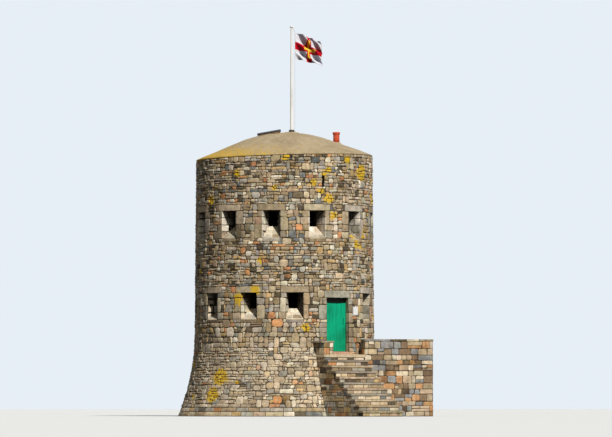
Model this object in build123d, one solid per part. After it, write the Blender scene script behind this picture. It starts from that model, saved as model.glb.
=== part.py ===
from build123d import *
import math
import os

os.makedirs("parts", exist_ok=True)

# Loophole tower: a round rubble tower with a battered foot, two rows of splayed loopholes,
# a first-floor door on an outside stair and a rendered roof cap.
# Frame: millimetres, +Z up, origin on the tower's axis at the foot, the door faces -Y.
# An azimuth is measured from the door, positive to the right for someone facing the door.

# Outer face of the wall
WALL_RADIUS = 3085.0          # where the batter ends
HEAD_RADIUS = 3035.0          # at the wall head
WALL_HEAD = 8900.0            # on the axis; the head falls to one side
BATTER_TOP = 2900.0
BATTER_ARC = 7500.0           # radius of the hollow curve of the batter
FOOT_COURSE_HEIGHT = 300.0
FOOT_COURSE_PROUD = 25.0

# Inside: each storey is wider than the one below, and the ledges carry the floors
BASE_INNER_RADIUS = 1700.0
ENTRANCE_INNER_RADIUS = 1850.0
UPPER_INNER_RADIUS = 1950.0
ENTRANCE_LEVEL = 2210.0
UPPER_LEVEL = 5000.0
BOARD_THICKNESS = 40.0
JOIST_DEPTH = 200.0
JOIST_WIDTH = 75.0
JOIST_SPACING = 450.0         # at most, from middle to middle
JOIST_EDGE = 300.0            # from the floor's rim to the middle of the outer joists
FLOOR_GAP = 8.0

# The wall is built in segments of a ring
SEGMENT_NAMES = ("right", "back", "left")
SEGMENT_ARC = 360.0 / len(SEGMENT_NAMES)

# Loopholes: a wide mouth, a narrow throat and a wide inner side, with a sill that climbs inwards
LOOPHOLE_COUNT = 12
MOUTH_WIDTH = 600.0
THROAT_WIDTH = 300.0
THROAT_DEPTH = 500.0
INNER_WIDTH = 600.0
LOWER_SILL = 3310.0
LOWER_THROAT_SILL = 3680.0
LOWER_HEAD = 4210.0
UPPER_SILL = 6070.0
UPPER_THROAT_SILL = 6480.0
UPPER_HEAD = 7010.0
SILL_STONE_DEPTH = 120.0
LINTEL_LENGTH = 980.0
LINTEL_HEIGHT = 220.0
LINTEL_DEPTH = 450.0

# Slit high in the wall, near the middle of what stands above the upper lintels
SLIT_AZIMUTH = -10.9
SLIT_WIDTH = 80.0
SLIT_HEIGHT = 380.0
SLIT_DROP = 45.0              # of its centre below that middle

# Doorway and door
DOOR_WIDTH = 930.0
DOOR_HEAD = 4040.0
DOOR_RECESS = 200.0
PASSAGE_WIDTH = 1060.0
PASSAGE_HEAD = 4100.0
DOOR_LINTEL_LENGTH = 1130.0
DOOR_LINTEL_HEIGHT = 260.0
INNER_LINTEL_BEARING = 100.0
THRESHOLD_HEIGHT = 100.0
THRESHOLD_LENGTH = 1100.0
THRESHOLD_PROUD = 25.0
LEAF_THICKNESS = 55.0
LEAF_GAP = 10.0
LEDGE_HEIGHT = 130.0
LEDGE_THICKNESS = 30.0
LEDGE_HEIGHTS = (330.0, 960.0, 1590.0)
HINGE_HEIGHTS = (330.0, 1590.0)
STRAP_LENGTH = 720.0
STRAP_WIDTH = 50.0
STRAP_THICKNESS = 8.0
PIN_RADIUS = 11.0
PIN_CLEARANCE = 0.5
EYE_RADIUS = 20.0
PIN_INSET = 38.0
PINTLE_PLATE = (10.0, 70.0, 110.0)
HANDLE_HEIGHT = 1050.0
HANDLE_INSET = 110.0
HANDLE_LENGTH = 180.0
HANDLE_REACH = 45.0
HANDLE_RADIUS = 9.0

# Bare plate beside the door
PLATE_AZIMUTH = 15.1
PLATE_WIDTH = 250.0
PLATE_HEIGHT = 280.0
PLATE_BOTTOM = 3470.0
PLATE_THICKNESS = 25.0

# Roof cap: a cone with a rounded crown, vaulted below, all falling to one side
CAP_RADIUS = 3060.0
CAP_EDGE = 60.0
CAP_SLOPE = 21.0
CROWN_ARC = 4300.0
CROWN_THICKNESS = 330.0
ROOF_FALL = 1.7
FALL_AZIMUTH = -126.9

# Hatch in the roof
HATCH_PLACE = (-475.0, 245.0)
HATCH_TURN = -36.9
HATCH_SIDE = 760.0
HATCH_DROP = 24.0             # from the crown down to the kerb's upper face, at its centre
HATCH_PITCH = 10.0
KERB_THICKNESS = 90.0
LID_THICKNESS = 40.0
LID_OVERHANG = 35.0

# Chimney pot; its rim is level with the crown
POT_PLACE = (1260.0, -1320.0)
POT_RADIUS = 112.0
POT_RIM_RADIUS = 130.0
POT_RIM_HEIGHT = 60.0
POT_WALL = 22.0

# Flagpole, its plinth and collar, halyard and flag
POLE_PLACE = (200.0, -150.0)
PLINTH_RADIUS = 270.0
PLINTH_RISE = 16.0            # above the crown
COLLAR_RADIUS = 95.0
COLLAR_HEIGHT = 80.0
POLE_FOOT_RADIUS = 54.0
POLE_TOP_RADIUS = 34.0
POLE_ABOVE_FLAG = 150.0       # from the flag's head to the truck
TRUCK_RADIUS = 62.0
TRUCK_HEIGHT = 60.0
HALYARD_RADIUS = 5.0
HALYARD_REACH = 150.0         # from the pole's axis at the flag
CLEAT_WIDTH = 30.0
FLAG_HEAD = 13330.0
FLAG_HOIST = 915.0
FLAG_FLY = 1525.0
FLAG_THICKNESS = 8.0
FLAG_DROOP = 8.0              # fall of the cloth towards the fly, in degrees
FLAG_GAP = 2.5                # from the halyard to the middle of the hoist
FLAG_AZIMUTH = 93.0           # direction in which it flies
FLAG_WAVES = 4
FLAG_WAVE_ANGLE = 50.0        # of the cloth against the line of flight

# Stair, landing and cheek wall
LANDING_FRONT = 3450.0        # from the tower's axis
LANDING_THICKNESS = 100.0
STAIR_LEFT = -900.0
STAIR_RIGHT = 850.0
RISER_COUNT = 11
GOING = 215.0
TREAD_THICKNESS = 70.0
NOSING = 30.0
CHEEK_WIDTH = 410.0
CHEEK_TOP = 2560.0
CHEEK_COPING_HEIGHT = 60.0
CHEEK_COPING_PROUD = 110.0
COPING_LIP = 20.0

# Wing wall on the right of the landing
WING_LENGTH = 2430.0
WING_THICKNESS = 450.0
WING_TOP = 2640.0
WING_SKEW = -21.9
WING_COPING_HEIGHT = 75.0

# Derived sizes
LANDING_TOP = ENTRANCE_LEVEL - THRESHOLD_HEIGHT
RISE = LANDING_TOP / RISER_COUNT
DOOR_FACE = WALL_RADIUS - DOOR_RECESS
FLOOR_DEPTH = BOARD_THICKNESS + JOIST_DEPTH
CROWN_EDGE = CROWN_ARC * math.sin(math.radians(CAP_SLOPE))
SHOULDER = CAP_EDGE + (CAP_RADIUS - CROWN_EDGE) * math.tan(math.radians(CAP_SLOPE))
APEX = SHOULDER + CROWN_ARC * (1 - math.cos(math.radians(CAP_SLOPE)))
CROWN_TOP = WALL_HEAD + APEX
HATCH_LEVEL = CROWN_TOP - HATCH_DROP
PLINTH_TOP = CROWN_TOP + PLINTH_RISE
SLIT_MIDDLE = (UPPER_HEAD + LINTEL_HEIGHT + WALL_HEAD) / 2 - SLIT_DROP
POLE_TOP = FLAG_HEAD + POLE_ABOVE_FLAG
FOOT_RADIUS = WALL_RADIUS + BATTER_ARC - math.sqrt(BATTER_ARC**2 - BATTER_TOP**2)
REACH = 2.0 * FOOT_RADIUS     # long enough to pass right through the wall
SPARE = 200.0                 # how far a cutter runs past a face
LOWER_AZIMUTHS = [360.0 * k / LOOPHOLE_COUNT for k in range(1, LOOPHOLE_COUNT)]
UPPER_AZIMUTHS = [360.0 * (k + 0.5) / LOOPHOLE_COUNT for k in range(LOOPHOLE_COUNT)]

LOW = (Align.MIN, Align.MIN, Align.MIN)
ON_FLOOR = (Align.CENTER, Align.CENTER, Align.MIN)
HANGING = (Align.CENTER, Align.CENTER, Align.MAX)


def save(shape, name):
    """Write one sub-part, its solids kept apart, to its own file."""
    solids = list(shape.solids())
    body = solids[0] if len(solids) == 1 else Compound(children=solids)
    export_step(body, f"parts/{name}.step")


def block(x, y, z):
    """A box between two values along each axis."""
    sides = (x[1] - x[0], y[1] - y[0], z[1] - z[0])
    return Pos(x[0], y[0], z[0]) * Box(*sides, align=LOW)


def turned(shape, azimuth):
    """A shape modelled on the door's side, turned to another azimuth."""
    return Rot(0, 0, azimuth) * shape


def around(shape, azimuths):
    """Copies of a shape modelled on the door's side, one at each azimuth."""
    return [turned(shape, azimuth) for azimuth in azimuths]


# Wall sections and rings

def outer_section():
    """Half section inside the wall's outer face: hollow batter, then a slight taper."""
    batter_angle = math.degrees(math.asin(BATTER_TOP / BATTER_ARC))
    batter = CenterArc((WALL_RADIUS + BATTER_ARC, BATTER_TOP), BATTER_ARC, 180, batter_angle)
    rise = WALL_HEAD - BATTER_TOP
    taper = (WALL_RADIUS - HEAD_RADIUS) / rise
    top = WALL_HEAD + SPARE
    top_radius = HEAD_RADIUS - taper * SPARE
    rest = Polyline((WALL_RADIUS, BATTER_TOP), (top_radius, top), (0, top), (0, 0), (FOOT_RADIUS, 0))
    return make_face(batter + rest)


def rectangle(radius, bottom, top):
    """Half section of a cylinder between two heights."""
    return Pos(0, bottom) * Rectangle(radius, top - bottom, align=(Align.MIN, Align.MIN))


def inner_section():
    """Half section of the hollow inside, with a ledge under each floor."""
    entrance_ledge = ENTRANCE_LEVEL - FLOOR_DEPTH
    upper_ledge = UPPER_LEVEL - FLOOR_DEPTH
    return (
        rectangle(BASE_INNER_RADIUS, -SPARE, entrance_ledge)
        + rectangle(ENTRANCE_INNER_RADIUS, entrance_ledge, upper_ledge)
        + rectangle(UPPER_INNER_RADIUS, upper_ledge, WALL_HEAD + 2 * SPARE)
    )


def batter_radius(height):
    """Radius of the wall's outer face at a height within the batter."""
    return WALL_RADIUS + BATTER_ARC - math.sqrt(BATTER_ARC**2 - (BATTER_TOP - height) ** 2)


def foot_section():
    """Half section of the lowest course, a little proud of the wall above it."""
    return make_face(Polyline(
        (BASE_INNER_RADIUS, 0),
        (FOOT_RADIUS + FOOT_COURSE_PROUD, 0),
        (batter_radius(FOOT_COURSE_HEIGHT) + FOOT_COURSE_PROUD, FOOT_COURSE_HEIGHT),
        (BASE_INNER_RADIUS, FOOT_COURSE_HEIGHT),
        close=True,
    ))


def wall_section(bottom, top):
    """Half section of the hollow wall between two heights."""
    return (outer_section() - inner_section()) & rectangle(REACH, bottom, top)


def ring(bottom, top):
    """The whole wall between two heights."""
    return revolve(Plane.XZ * wall_section(bottom, top), Axis.Z, 360)


def save_segments(name, bottom, top, cutters):
    """The wall between two heights as ring segments, each less what is let into it."""
    segment = revolve(Plane.XZ * wall_section(bottom, top), Axis.Z, SEGMENT_ARC)
    for index, side in enumerate(SEGMENT_NAMES):
        piece = turned(segment, index * SEGMENT_ARC - 90)
        for cutter in cutters:
            piece = piece - cutter
        save(piece, f"{name}_{side}")


# Loopholes

def splay_plan(inner_radius):
    """Plan of a loophole on the door's side, run past both faces of the wall."""
    slope = (MOUTH_WIDTH - THROAT_WIDTH) / 2 / THROAT_DEPTH
    throat = THROAT_WIDTH / 2
    mouth = throat + slope * (THROAT_DEPTH + SPARE)
    inner_run = WALL_RADIUS - THROAT_DEPTH - inner_radius
    inner = throat + (INNER_WIDTH - THROAT_WIDTH) / 2 * (inner_run + SPARE) / inner_run
    outline = [
        (mouth, -WALL_RADIUS - SPARE),
        (throat, -WALL_RADIUS + THROAT_DEPTH),
        (inner, SPARE - inner_radius),
    ]
    mirrored = [(-x, y) for x, y in reversed(outline)]
    return make_face(Polyline(*outline, *mirrored, close=True))


def splay_prism(inner_radius, bottom, top):
    """The loophole's plan carried up between two heights."""
    return Pos(0, 0, bottom) * extrude(splay_plan(inner_radius), top - bottom)


def sill_side(sill, throat_sill, inner_radius):
    """Side view of the stone under a loophole: a steep outer slope and a level inner part."""
    slope = (throat_sill - sill) / THROAT_DEPTH
    outline = Polyline(
        (-WALL_RADIUS - SPARE, 0),
        (-WALL_RADIUS - SPARE, sill - slope * SPARE),
        (-WALL_RADIUS + THROAT_DEPTH, throat_sill),
        (SPARE - inner_radius, throat_sill),
        (SPARE - inner_radius, 0),
        close=True,
    )
    return Plane.YZ * make_face(outline)


def sill_stone(sill, throat_sill, inner_radius):
    """One sill on the door's side, still to be trimmed to the wall's faces."""
    body = extrude(sill_side(sill, throat_sill, inner_radius), MOUTH_WIDTH, both=True)
    return body & splay_prism(inner_radius, sill - SILL_STONE_DEPTH, throat_sill)


def lintel_stone(head):
    """One lintel on the door's side, still to be trimmed to the wall's outer face."""
    half = LINTEL_LENGTH / 2
    inner_end = -WALL_RADIUS + LINTEL_DEPTH
    return block((-half, half), (-REACH, inner_end), (head, head + LINTEL_HEIGHT))


def save_trimmed(name, stones, bottom, top):
    """Stones let into the wall, trimmed to its inner and outer faces."""
    band = ring(bottom, top)
    save(Compound(children=[(stone & band).solids()[0] for stone in stones]), name)


# Doorway

def doorway():
    """Outer reveal and the wider passage behind it."""
    half = DOOR_WIDTH / 2
    reveal = block((-half, half), (-REACH, -DOOR_FACE), (ENTRANCE_LEVEL, DOOR_HEAD))
    half = PASSAGE_WIDTH / 2
    inner_end = SPARE - ENTRANCE_INNER_RADIUS
    passage = block((-half, half), (-DOOR_FACE, inner_end), (ENTRANCE_LEVEL, PASSAGE_HEAD))
    return reveal + passage


def door_lintel():
    """Outer lintel stone over the reveal."""
    half = DOOR_LINTEL_LENGTH / 2
    levels = (DOOR_HEAD, DOOR_HEAD + DOOR_LINTEL_HEIGHT)
    return block((-half, half), (-REACH, -DOOR_FACE), levels)


def inner_lintel():
    """Flat lintel over the passage, bearing on the wall at both ends."""
    half = PASSAGE_WIDTH / 2 + INNER_LINTEL_BEARING
    inner_end = SPARE - ENTRANCE_INNER_RADIUS
    return block((-half, half), (-DOOR_FACE, inner_end), (PASSAGE_HEAD, LOWER_HEAD))


def threshold():
    """Threshold stone, a little proud of the wall."""
    half = THRESHOLD_LENGTH / 2
    front = -batter_radius(LANDING_TOP) - THRESHOLD_PROUD
    return block((-half, half), (front, -DOOR_FACE), (LANDING_TOP, ENTRANCE_LEVEL))


# Door

LEAF_WIDTH = PASSAGE_WIDTH - 2 * LEAF_GAP
LEAF_BOTTOM = ENTRANCE_LEVEL + LEAF_GAP
LEAF_TOP = PASSAGE_HEAD - LEAF_GAP
LEAF_FRONT = -DOOR_FACE + LEAF_GAP
LEAF_BACK = LEAF_FRONT + LEAF_THICKNESS
STRAP_FRONT = LEAF_BACK + LEDGE_THICKNESS
PIN_X = -PASSAGE_WIDTH / 2 + PIN_INSET
PIN_Y = STRAP_FRONT + STRAP_THICKNESS / 2


def door_leaf():
    """Boards with three ledges across the back."""
    half = LEAF_WIDTH / 2
    leaf = block((-half, half), (LEAF_FRONT, LEAF_BACK), (LEAF_BOTTOM, LEAF_TOP))
    reach = half - 2 * PIN_INSET
    for height in LEDGE_HEIGHTS:
        middle = LEAF_BOTTOM + height
        levels = (middle - LEDGE_HEIGHT / 2, middle + LEDGE_HEIGHT / 2)
        leaf = leaf + block((-reach, reach), (LEAF_BACK, STRAP_FRONT), levels)
    return leaf


def strap_hinge(height):
    """Strap on a ledge, ending in an eye round the pin."""
    middle = LEAF_BOTTOM + height
    levels = (middle - STRAP_WIDTH / 2, middle + STRAP_WIDTH / 2)
    strap = block((PIN_X, PIN_X + STRAP_LENGTH), (STRAP_FRONT, STRAP_FRONT + STRAP_THICKNESS), levels)
    base = Pos(PIN_X, PIN_Y, levels[0])
    eye = base * Cylinder(EYE_RADIUS, STRAP_WIDTH, align=ON_FLOOR)
    bore = base * Cylinder(PIN_RADIUS + PIN_CLEARANCE, STRAP_WIDTH, align=ON_FLOOR)
    return strap + eye - bore


def pintle(height):
    """Pin on a shank that stands out of a plate on the side of the passage."""
    shank_top = LEAF_BOTTOM + height - STRAP_WIDTH / 2 - PIN_CLEARANCE
    side = -PASSAGE_WIDTH / 2
    plate_x, plate_y, plate_z = PINTLE_PLATE
    shank_bottom = shank_top - 2 * PIN_RADIUS
    plate_middle = (shank_top + shank_bottom) / 2
    plate = block(
        (side, side + plate_x),
        (PIN_Y - PIN_RADIUS, PIN_Y - PIN_RADIUS + plate_y),
        (plate_middle - plate_z / 2, plate_middle + plate_z / 2),
    )
    shank = block((side, PIN_X), (PIN_Y - PIN_RADIUS, PIN_Y + PIN_RADIUS), (shank_bottom, shank_top))
    pin_height = 2 * PIN_RADIUS + PIN_CLEARANCE + STRAP_WIDTH
    pin = Pos(PIN_X, PIN_Y, shank_bottom) * Cylinder(PIN_RADIUS, pin_height, align=ON_FLOOR)
    return plate + shank + pin


def door_handle():
    """Bent bar on the face of the door, opposite the hinges."""
    x = DOOR_WIDTH / 2 - HANDLE_INSET
    middle = LEAF_BOTTOM + HANDLE_HEIGHT
    top = middle + HANDLE_LENGTH / 2
    bottom = middle - HANDLE_LENGTH / 2
    front = LEAF_FRONT - HANDLE_REACH
    route = FilletPolyline(
        (x, LEAF_FRONT, top), (x, front, top), (x, front, bottom), (x, LEAF_FRONT, bottom),
        radius=2.2 * HANDLE_RADIUS,
    )
    profile = Plane((x, LEAF_FRONT, top), z_dir=(0, -1, 0)) * Circle(HANDLE_RADIUS)
    return sweep(profile, route)


def wall_plate(mass):
    """Thin plate fixed to the wall, its back following the round face."""
    half = PLATE_WIDTH / 2
    front = -WALL_RADIUS - PLATE_THICKNESS
    levels = (PLATE_BOTTOM, PLATE_BOTTOM + PLATE_HEIGHT)
    return turned(block((-half, half), (front, -DOOR_FACE), levels), PLATE_AZIMUTH) - mass


# Floors

def floor_boards(level, inner_radius):
    """Boarded disc inside the wall."""
    return Pos(0, 0, level) * Cylinder(inner_radius - FLOOR_GAP, BOARD_THICKNESS, align=HANGING)


def floor_joists(level, inner_radius):
    """Joists under the boards, their ends on the ledge."""
    radius = inner_radius - FLOOR_GAP
    half_width = JOIST_WIDTH / 2
    levels = (level - FLOOR_DEPTH, level - BOARD_THICKNESS)
    outer = radius - JOIST_EDGE
    bays = math.ceil(2 * outer / JOIST_SPACING)
    joists = []
    for row in range(bays + 1):
        y = outer * (2 * row / bays - 1)
        half = math.sqrt(radius**2 - (abs(y) + half_width) ** 2)
        joists.append(block((-half, half), (y - half_width, y + half_width), levels))
    return Compound(children=joists)


# Roof

FALL = Pos(0, 0, WALL_HEAD) * Rot(0, 0, FALL_AZIMUTH) * Rot(ROOF_FALL, 0, 0)


def roof_cap():
    """Cone with a rounded crown, and a vault below it."""
    soffit = APEX - CROWN_THICKNESS
    springing = UPPER_INNER_RADIUS - FLOOR_GAP
    crown_mid = math.radians(CAP_SLOPE) / 2
    crown = ThreePointArc(
        (CROWN_EDGE, SHOULDER),
        (CROWN_ARC * math.sin(crown_mid), APEX - CROWN_ARC * (1 - math.cos(crown_mid))),
        (0, APEX),
    )
    vault_arc = (springing**2 + soffit**2) / (2 * soffit)
    vault_mid = math.asin(springing / vault_arc) / 2
    vault = ThreePointArc(
        (0, soffit),
        (vault_arc * math.sin(vault_mid), soffit - vault_arc * (1 - math.cos(vault_mid))),
        (springing, 0),
    )
    rim = Polyline((springing, 0), (CAP_RADIUS, 0), (CAP_RADIUS, CAP_EDGE), (CROWN_EDGE, SHOULDER))
    axis_line = Line((0, APEX), (0, soffit))
    return FALL * revolve(Plane.XZ * make_face(crown + axis_line + vault + rim), Axis.Z, 360)


def hatch_frame():
    """Where the hatch lies: its pitch follows the crown."""
    return Pos(*HATCH_PLACE, HATCH_LEVEL) * Rot(0, 0, HATCH_TURN) * Rot(0, -HATCH_PITCH, 0)


def above_roof(shape, cap):
    """The part of a shape that stands on the cap, cut to its surface."""
    return max((shape - cap).solids(), key=lambda solid: solid.center().Z)


def hatch_kerb(cap):
    """Upstand round the hatch, seated on the crown."""
    outer = Box(HATCH_SIDE, HATCH_SIDE, 2 * CROWN_THICKNESS)
    inner_side = HATCH_SIDE - 2 * KERB_THICKNESS
    inner = Box(inner_side, inner_side, 2 * CROWN_THICKNESS)
    kerb = hatch_frame() * Pos(0, 0, -CROWN_THICKNESS) * (outer - inner)
    return above_roof(kerb, cap)


def hatch_lid():
    """Flat lid over the kerb, lapping it all round."""
    side = HATCH_SIDE + 2 * LID_OVERHANG
    return hatch_frame() * Box(side, side, LID_THICKNESS, align=ON_FLOOR)


def chimney_pot(cap):
    """Clay pot with a thick rim, open at the top."""
    height = CROWN_TOP - WALL_HEAD
    rim = Pos(0, 0, height) * Cylinder(POT_RIM_RADIUS, POT_RIM_HEIGHT, align=HANGING)
    flue = Cylinder(POT_RADIUS - POT_WALL, height, align=ON_FLOOR)
    pot = Cylinder(POT_RADIUS, height, align=ON_FLOOR) + rim - flue
    return above_roof(Pos(*POT_PLACE, WALL_HEAD) * pot, cap)


def pole_plinth(cap):
    """Low round plinth on the crown."""
    height = PLINTH_TOP - WALL_HEAD
    plinth = Pos(*POLE_PLACE, WALL_HEAD) * Cylinder(PLINTH_RADIUS, height, align=ON_FLOOR)
    return above_roof(plinth, cap)


def pole_collar():
    """Iron socket that holds the pole, with an eye for the halyard."""
    place = Pos(*POLE_PLACE, PLINTH_TOP)
    collar = place * Cylinder(COLLAR_RADIUS, COLLAR_HEIGHT, align=ON_FLOOR)
    cleat = block(
        (-CLEAT_WIDTH / 2, CLEAT_WIDTH / 2),
        (-HALYARD_REACH - CLEAT_WIDTH / 2, -COLLAR_RADIUS / 2),
        (0, CLEAT_WIDTH),
    )
    return collar + place * turned(cleat, FLAG_AZIMUTH)


def flagpole():
    """Tapered pole with a turned truck on top; its foot stands on the collar."""
    foot = PLINTH_TOP + COLLAR_HEIGHT
    pole = Cone(POLE_FOOT_RADIUS, POLE_TOP_RADIUS, POLE_TOP - foot, align=ON_FLOOR)
    truck = Pos(0, 0, POLE_TOP - foot) * Cylinder(TRUCK_RADIUS, TRUCK_HEIGHT, align=ON_FLOOR)
    truck = fillet(truck.edges(), TRUCK_HEIGHT / 3)
    return Pos(*POLE_PLACE, foot) * (pole + truck)


def halyard():
    """Taut line from the truck out to the flag's head, down its hoist and on to the cleat."""
    reach = Vector(0, -HALYARD_REACH, 0).rotate(Axis.Z, FLAG_AZIMUTH)
    near = Vector(0, -TRUCK_RADIUS + 3 * HALYARD_RADIUS, 0).rotate(Axis.Z, FLAG_AZIMUTH)
    pole = Vector(*POLE_PLACE, 0)
    top = pole + near + Vector(0, 0, POLE_TOP)
    head = pole + reach + Vector(0, 0, FLAG_HEAD)
    foot = pole + reach + Vector(0, 0, PLINTH_TOP + CLEAT_WIDTH)
    route = FilletPolyline(top, head, foot, radius=HALYARD_REACH / 2)
    start = Plane(route @ 0, z_dir=route % 0)
    return sweep(start * Circle(HALYARD_RADIUS), route)


def flag():
    """Waving cloth that droops towards the fly, its hoist against the halyard."""
    arc_length = FLAG_FLY / FLAG_WAVES
    angle = FLAG_WAVE_ANGLE
    radius = arc_length / math.radians(2 * angle)
    place = (0, 0)
    heading = -90 - angle
    bends = []
    for wave in range(FLAG_WAVES):
        turn = 2 * angle if wave % 2 == 0 else -2 * angle
        tangent = (math.cos(math.radians(heading)), math.sin(math.radians(heading)))
        bend = JernArc(place, tangent, radius, turn)
        bends.append(bend)
        place = bend @ 1
        heading += turn
    foot_edge = Rot(FLAG_DROOP, 0, 0) * trace(bends, FLAG_THICKNESS)
    cloth = extrude(foot_edge, FLAG_HOIST, dir=(0, 0, 1))
    cloth = Pos(0, -HALYARD_REACH - HALYARD_RADIUS - FLAG_GAP, 0) * cloth
    return Pos(*POLE_PLACE, FLAG_HEAD - FLAG_HOIST) * turned(cloth, FLAG_AZIMUTH)


# Stair and walls beside it

def step_front(index):
    """Distance of a riser from the tower's axis; the landing's front is number 0."""
    return LANDING_FRONT + index * GOING


def step_top(index):
    """Level of a tread; the landing is number 0."""
    return LANDING_TOP - index * RISE


def stair_body(mass):
    """Masonry under the landing and the treads, down to the ground."""
    outline = [(-DOOR_FACE, 0), (-DOOR_FACE, LANDING_TOP - LANDING_THICKNESS)]
    level = LANDING_TOP - LANDING_THICKNESS
    for index in range(RISER_COUNT):
        outline.append((-step_front(index), level))
        level = step_top(index + 1) - TREAD_THICKNESS
        if index < RISER_COUNT - 1:
            outline.append((-step_front(index), level))
    outline.append((-step_front(RISER_COUNT - 1), 0))
    side = Plane.YZ * make_face(Polyline(*outline, close=True))
    width = STAIR_RIGHT - STAIR_LEFT - 2 * NOSING
    body = Pos(STAIR_LEFT + NOSING, 0, 0) * extrude(side, width)
    return body - mass


def treads():
    """One stone a step, with its nosing past the riser and past both flanks."""
    stones = []
    for index in range(1, RISER_COUNT):
        top = step_top(index)
        front = step_front(index)
        stones.append(block(
            (STAIR_LEFT, STAIR_RIGHT),
            (-front - NOSING, GOING - front),
            (top - TREAD_THICKNESS, top),
        ))
    return Compound(children=stones)


def landing(mass):
    """Slab in front of the threshold."""
    levels = (LANDING_TOP - LANDING_THICKNESS, LANDING_TOP)
    return block((STAIR_LEFT, STAIR_RIGHT), (-LANDING_FRONT - NOSING, -DOOR_FACE), levels) - mass


def cheek_wall(mass):
    """Low wall on the left of the landing."""
    levels = (LANDING_TOP, CHEEK_TOP - CHEEK_COPING_HEIGHT)
    sides = (STAIR_LEFT, STAIR_LEFT + CHEEK_WIDTH)
    return block(sides, (-LANDING_FRONT, -DOOR_FACE), levels) - mass - threshold()


def cheek_coping(mass):
    """Thin coping that stands out over the outer flank."""
    levels = (CHEEK_TOP - CHEEK_COPING_HEIGHT, CHEEK_TOP)
    sides = (STAIR_LEFT - CHEEK_COPING_PROUD, STAIR_LEFT + CHEEK_WIDTH + COPING_LIP)
    return block(sides, (-LANDING_FRONT - COPING_LIP, -DOOR_FACE), levels) - mass


def wing_block(levels, lip):
    """A straight length of the wing wall, from the landing's corner outwards."""
    course = block((-lip, WING_LENGTH + lip), (-lip, WING_THICKNESS + lip), levels)
    corner = Pos(STAIR_RIGHT, -LANDING_FRONT, 0)
    return corner * Rot(0, 0, WING_SKEW) * course


# Build and write every sub-part

tower_mass = revolve(Plane.XZ * (outer_section() + foot_section()), Axis.Z, 360)
roof_side = FALL * Pos(0, 0, WALL_HEAD / 2) * Box(2 * REACH, 2 * REACH, WALL_HEAD)

lower_sills = around(
    sill_stone(LOWER_SILL, LOWER_THROAT_SILL, ENTRANCE_INNER_RADIUS), LOWER_AZIMUTHS
)
upper_sills = around(
    sill_stone(UPPER_SILL, UPPER_THROAT_SILL, UPPER_INNER_RADIUS), UPPER_AZIMUTHS
)
lower_lintels = around(lintel_stone(LOWER_HEAD), LOWER_AZIMUTHS)
upper_lintels = around(lintel_stone(UPPER_HEAD), UPPER_AZIMUTHS)

save(revolve(Plane.XZ * foot_section(), Axis.Z, 360), "foot_course")

save_segments("base_wall", FOOT_COURSE_HEIGHT, ENTRANCE_LEVEL, [threshold()])
save_segments("entrance_wall", ENTRANCE_LEVEL, LOWER_SILL, [doorway(), *lower_sills])
save_segments("middle_wall", LOWER_HEAD, UPPER_SILL, [door_lintel(), *lower_lintels, *upper_sills])
slit_half = SLIT_WIDTH / 2
slit_levels = (SLIT_MIDDLE - SLIT_HEIGHT / 2, SLIT_MIDDLE + SLIT_HEIGHT / 2)
slit = block((-slit_half, slit_half), (-REACH, -SPARE), slit_levels)
save_segments(
    "top_wall", UPPER_HEAD, WALL_HEAD + SPARE,
    [roof_side, turned(slit, SLIT_AZIMUTH), *upper_lintels],
)

piers = ring(LOWER_SILL, LOWER_HEAD)
for cutter in around(splay_prism(ENTRANCE_INNER_RADIUS, LOWER_SILL, LOWER_HEAD), LOWER_AZIMUTHS):
    piers = piers - cutter
for cutter in (doorway(), door_lintel(), inner_lintel()):
    piers = piers - cutter
save(piers, "lower_piers")

piers = ring(UPPER_SILL, UPPER_HEAD)
for cutter in around(splay_prism(UPPER_INNER_RADIUS, UPPER_SILL, UPPER_HEAD), UPPER_AZIMUTHS):
    piers = piers - cutter
save(piers, "upper_piers")

save_trimmed("lower_sills", lower_sills, LOWER_SILL - SILL_STONE_DEPTH, LOWER_HEAD)
save_trimmed("upper_sills", upper_sills, UPPER_SILL - SILL_STONE_DEPTH, UPPER_HEAD)
save_trimmed("lower_lintels", lower_lintels, LOWER_HEAD, LOWER_HEAD + LINTEL_HEIGHT)
save_trimmed("upper_lintels", upper_lintels, UPPER_HEAD, UPPER_HEAD + LINTEL_HEIGHT)
save_trimmed("door_lintel", [door_lintel()], LOWER_SILL, UPPER_SILL)
save_trimmed("inner_lintel", [inner_lintel()], LOWER_SILL, LOWER_HEAD)
save(threshold(), "threshold")

save(door_leaf(), "door_leaf")
save(Compound(children=[strap_hinge(height) for height in HINGE_HEIGHTS]), "strap_hinges")
save(Compound(children=[pintle(height) for height in HINGE_HEIGHTS]), "door_pintles")
save(door_handle(), "door_handle")
save(wall_plate(tower_mass), "wall_plate")

save(floor_boards(ENTRANCE_LEVEL, ENTRANCE_INNER_RADIUS), "entrance_boards")
save(floor_joists(ENTRANCE_LEVEL, ENTRANCE_INNER_RADIUS), "entrance_joists")
save(floor_boards(UPPER_LEVEL, UPPER_INNER_RADIUS), "upper_boards")
save(floor_joists(UPPER_LEVEL, UPPER_INNER_RADIUS), "upper_joists")

cap = roof_cap()
save(cap, "roof_cap")
save(hatch_kerb(cap), "hatch_kerb")
save(hatch_lid(), "hatch_lid")
save(chimney_pot(cap), "chimney_pot")
save(pole_plinth(cap), "pole_plinth")
save(pole_collar(), "pole_collar")
save(flagpole(), "flagpole")
save(halyard(), "halyard")
save(flag(), "flag")

landing_slab = landing(tower_mass)
body = stair_body(tower_mass)
save(body, "stair_body")
save(landing_slab, "landing")
save(treads(), "treads")
save(cheek_wall(tower_mass), "cheek_wall")
save(cheek_coping(tower_mass), "cheek_coping")
wing_levels = (0, WING_TOP - WING_COPING_HEIGHT)
save(wing_block(wing_levels, 0) - tower_mass - body - landing_slab, "wing_wall")
coping_levels = (WING_TOP - WING_COPING_HEIGHT, WING_TOP)
save(wing_block(coping_levels, COPING_LIP) - tower_mass, "wing_coping")
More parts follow.
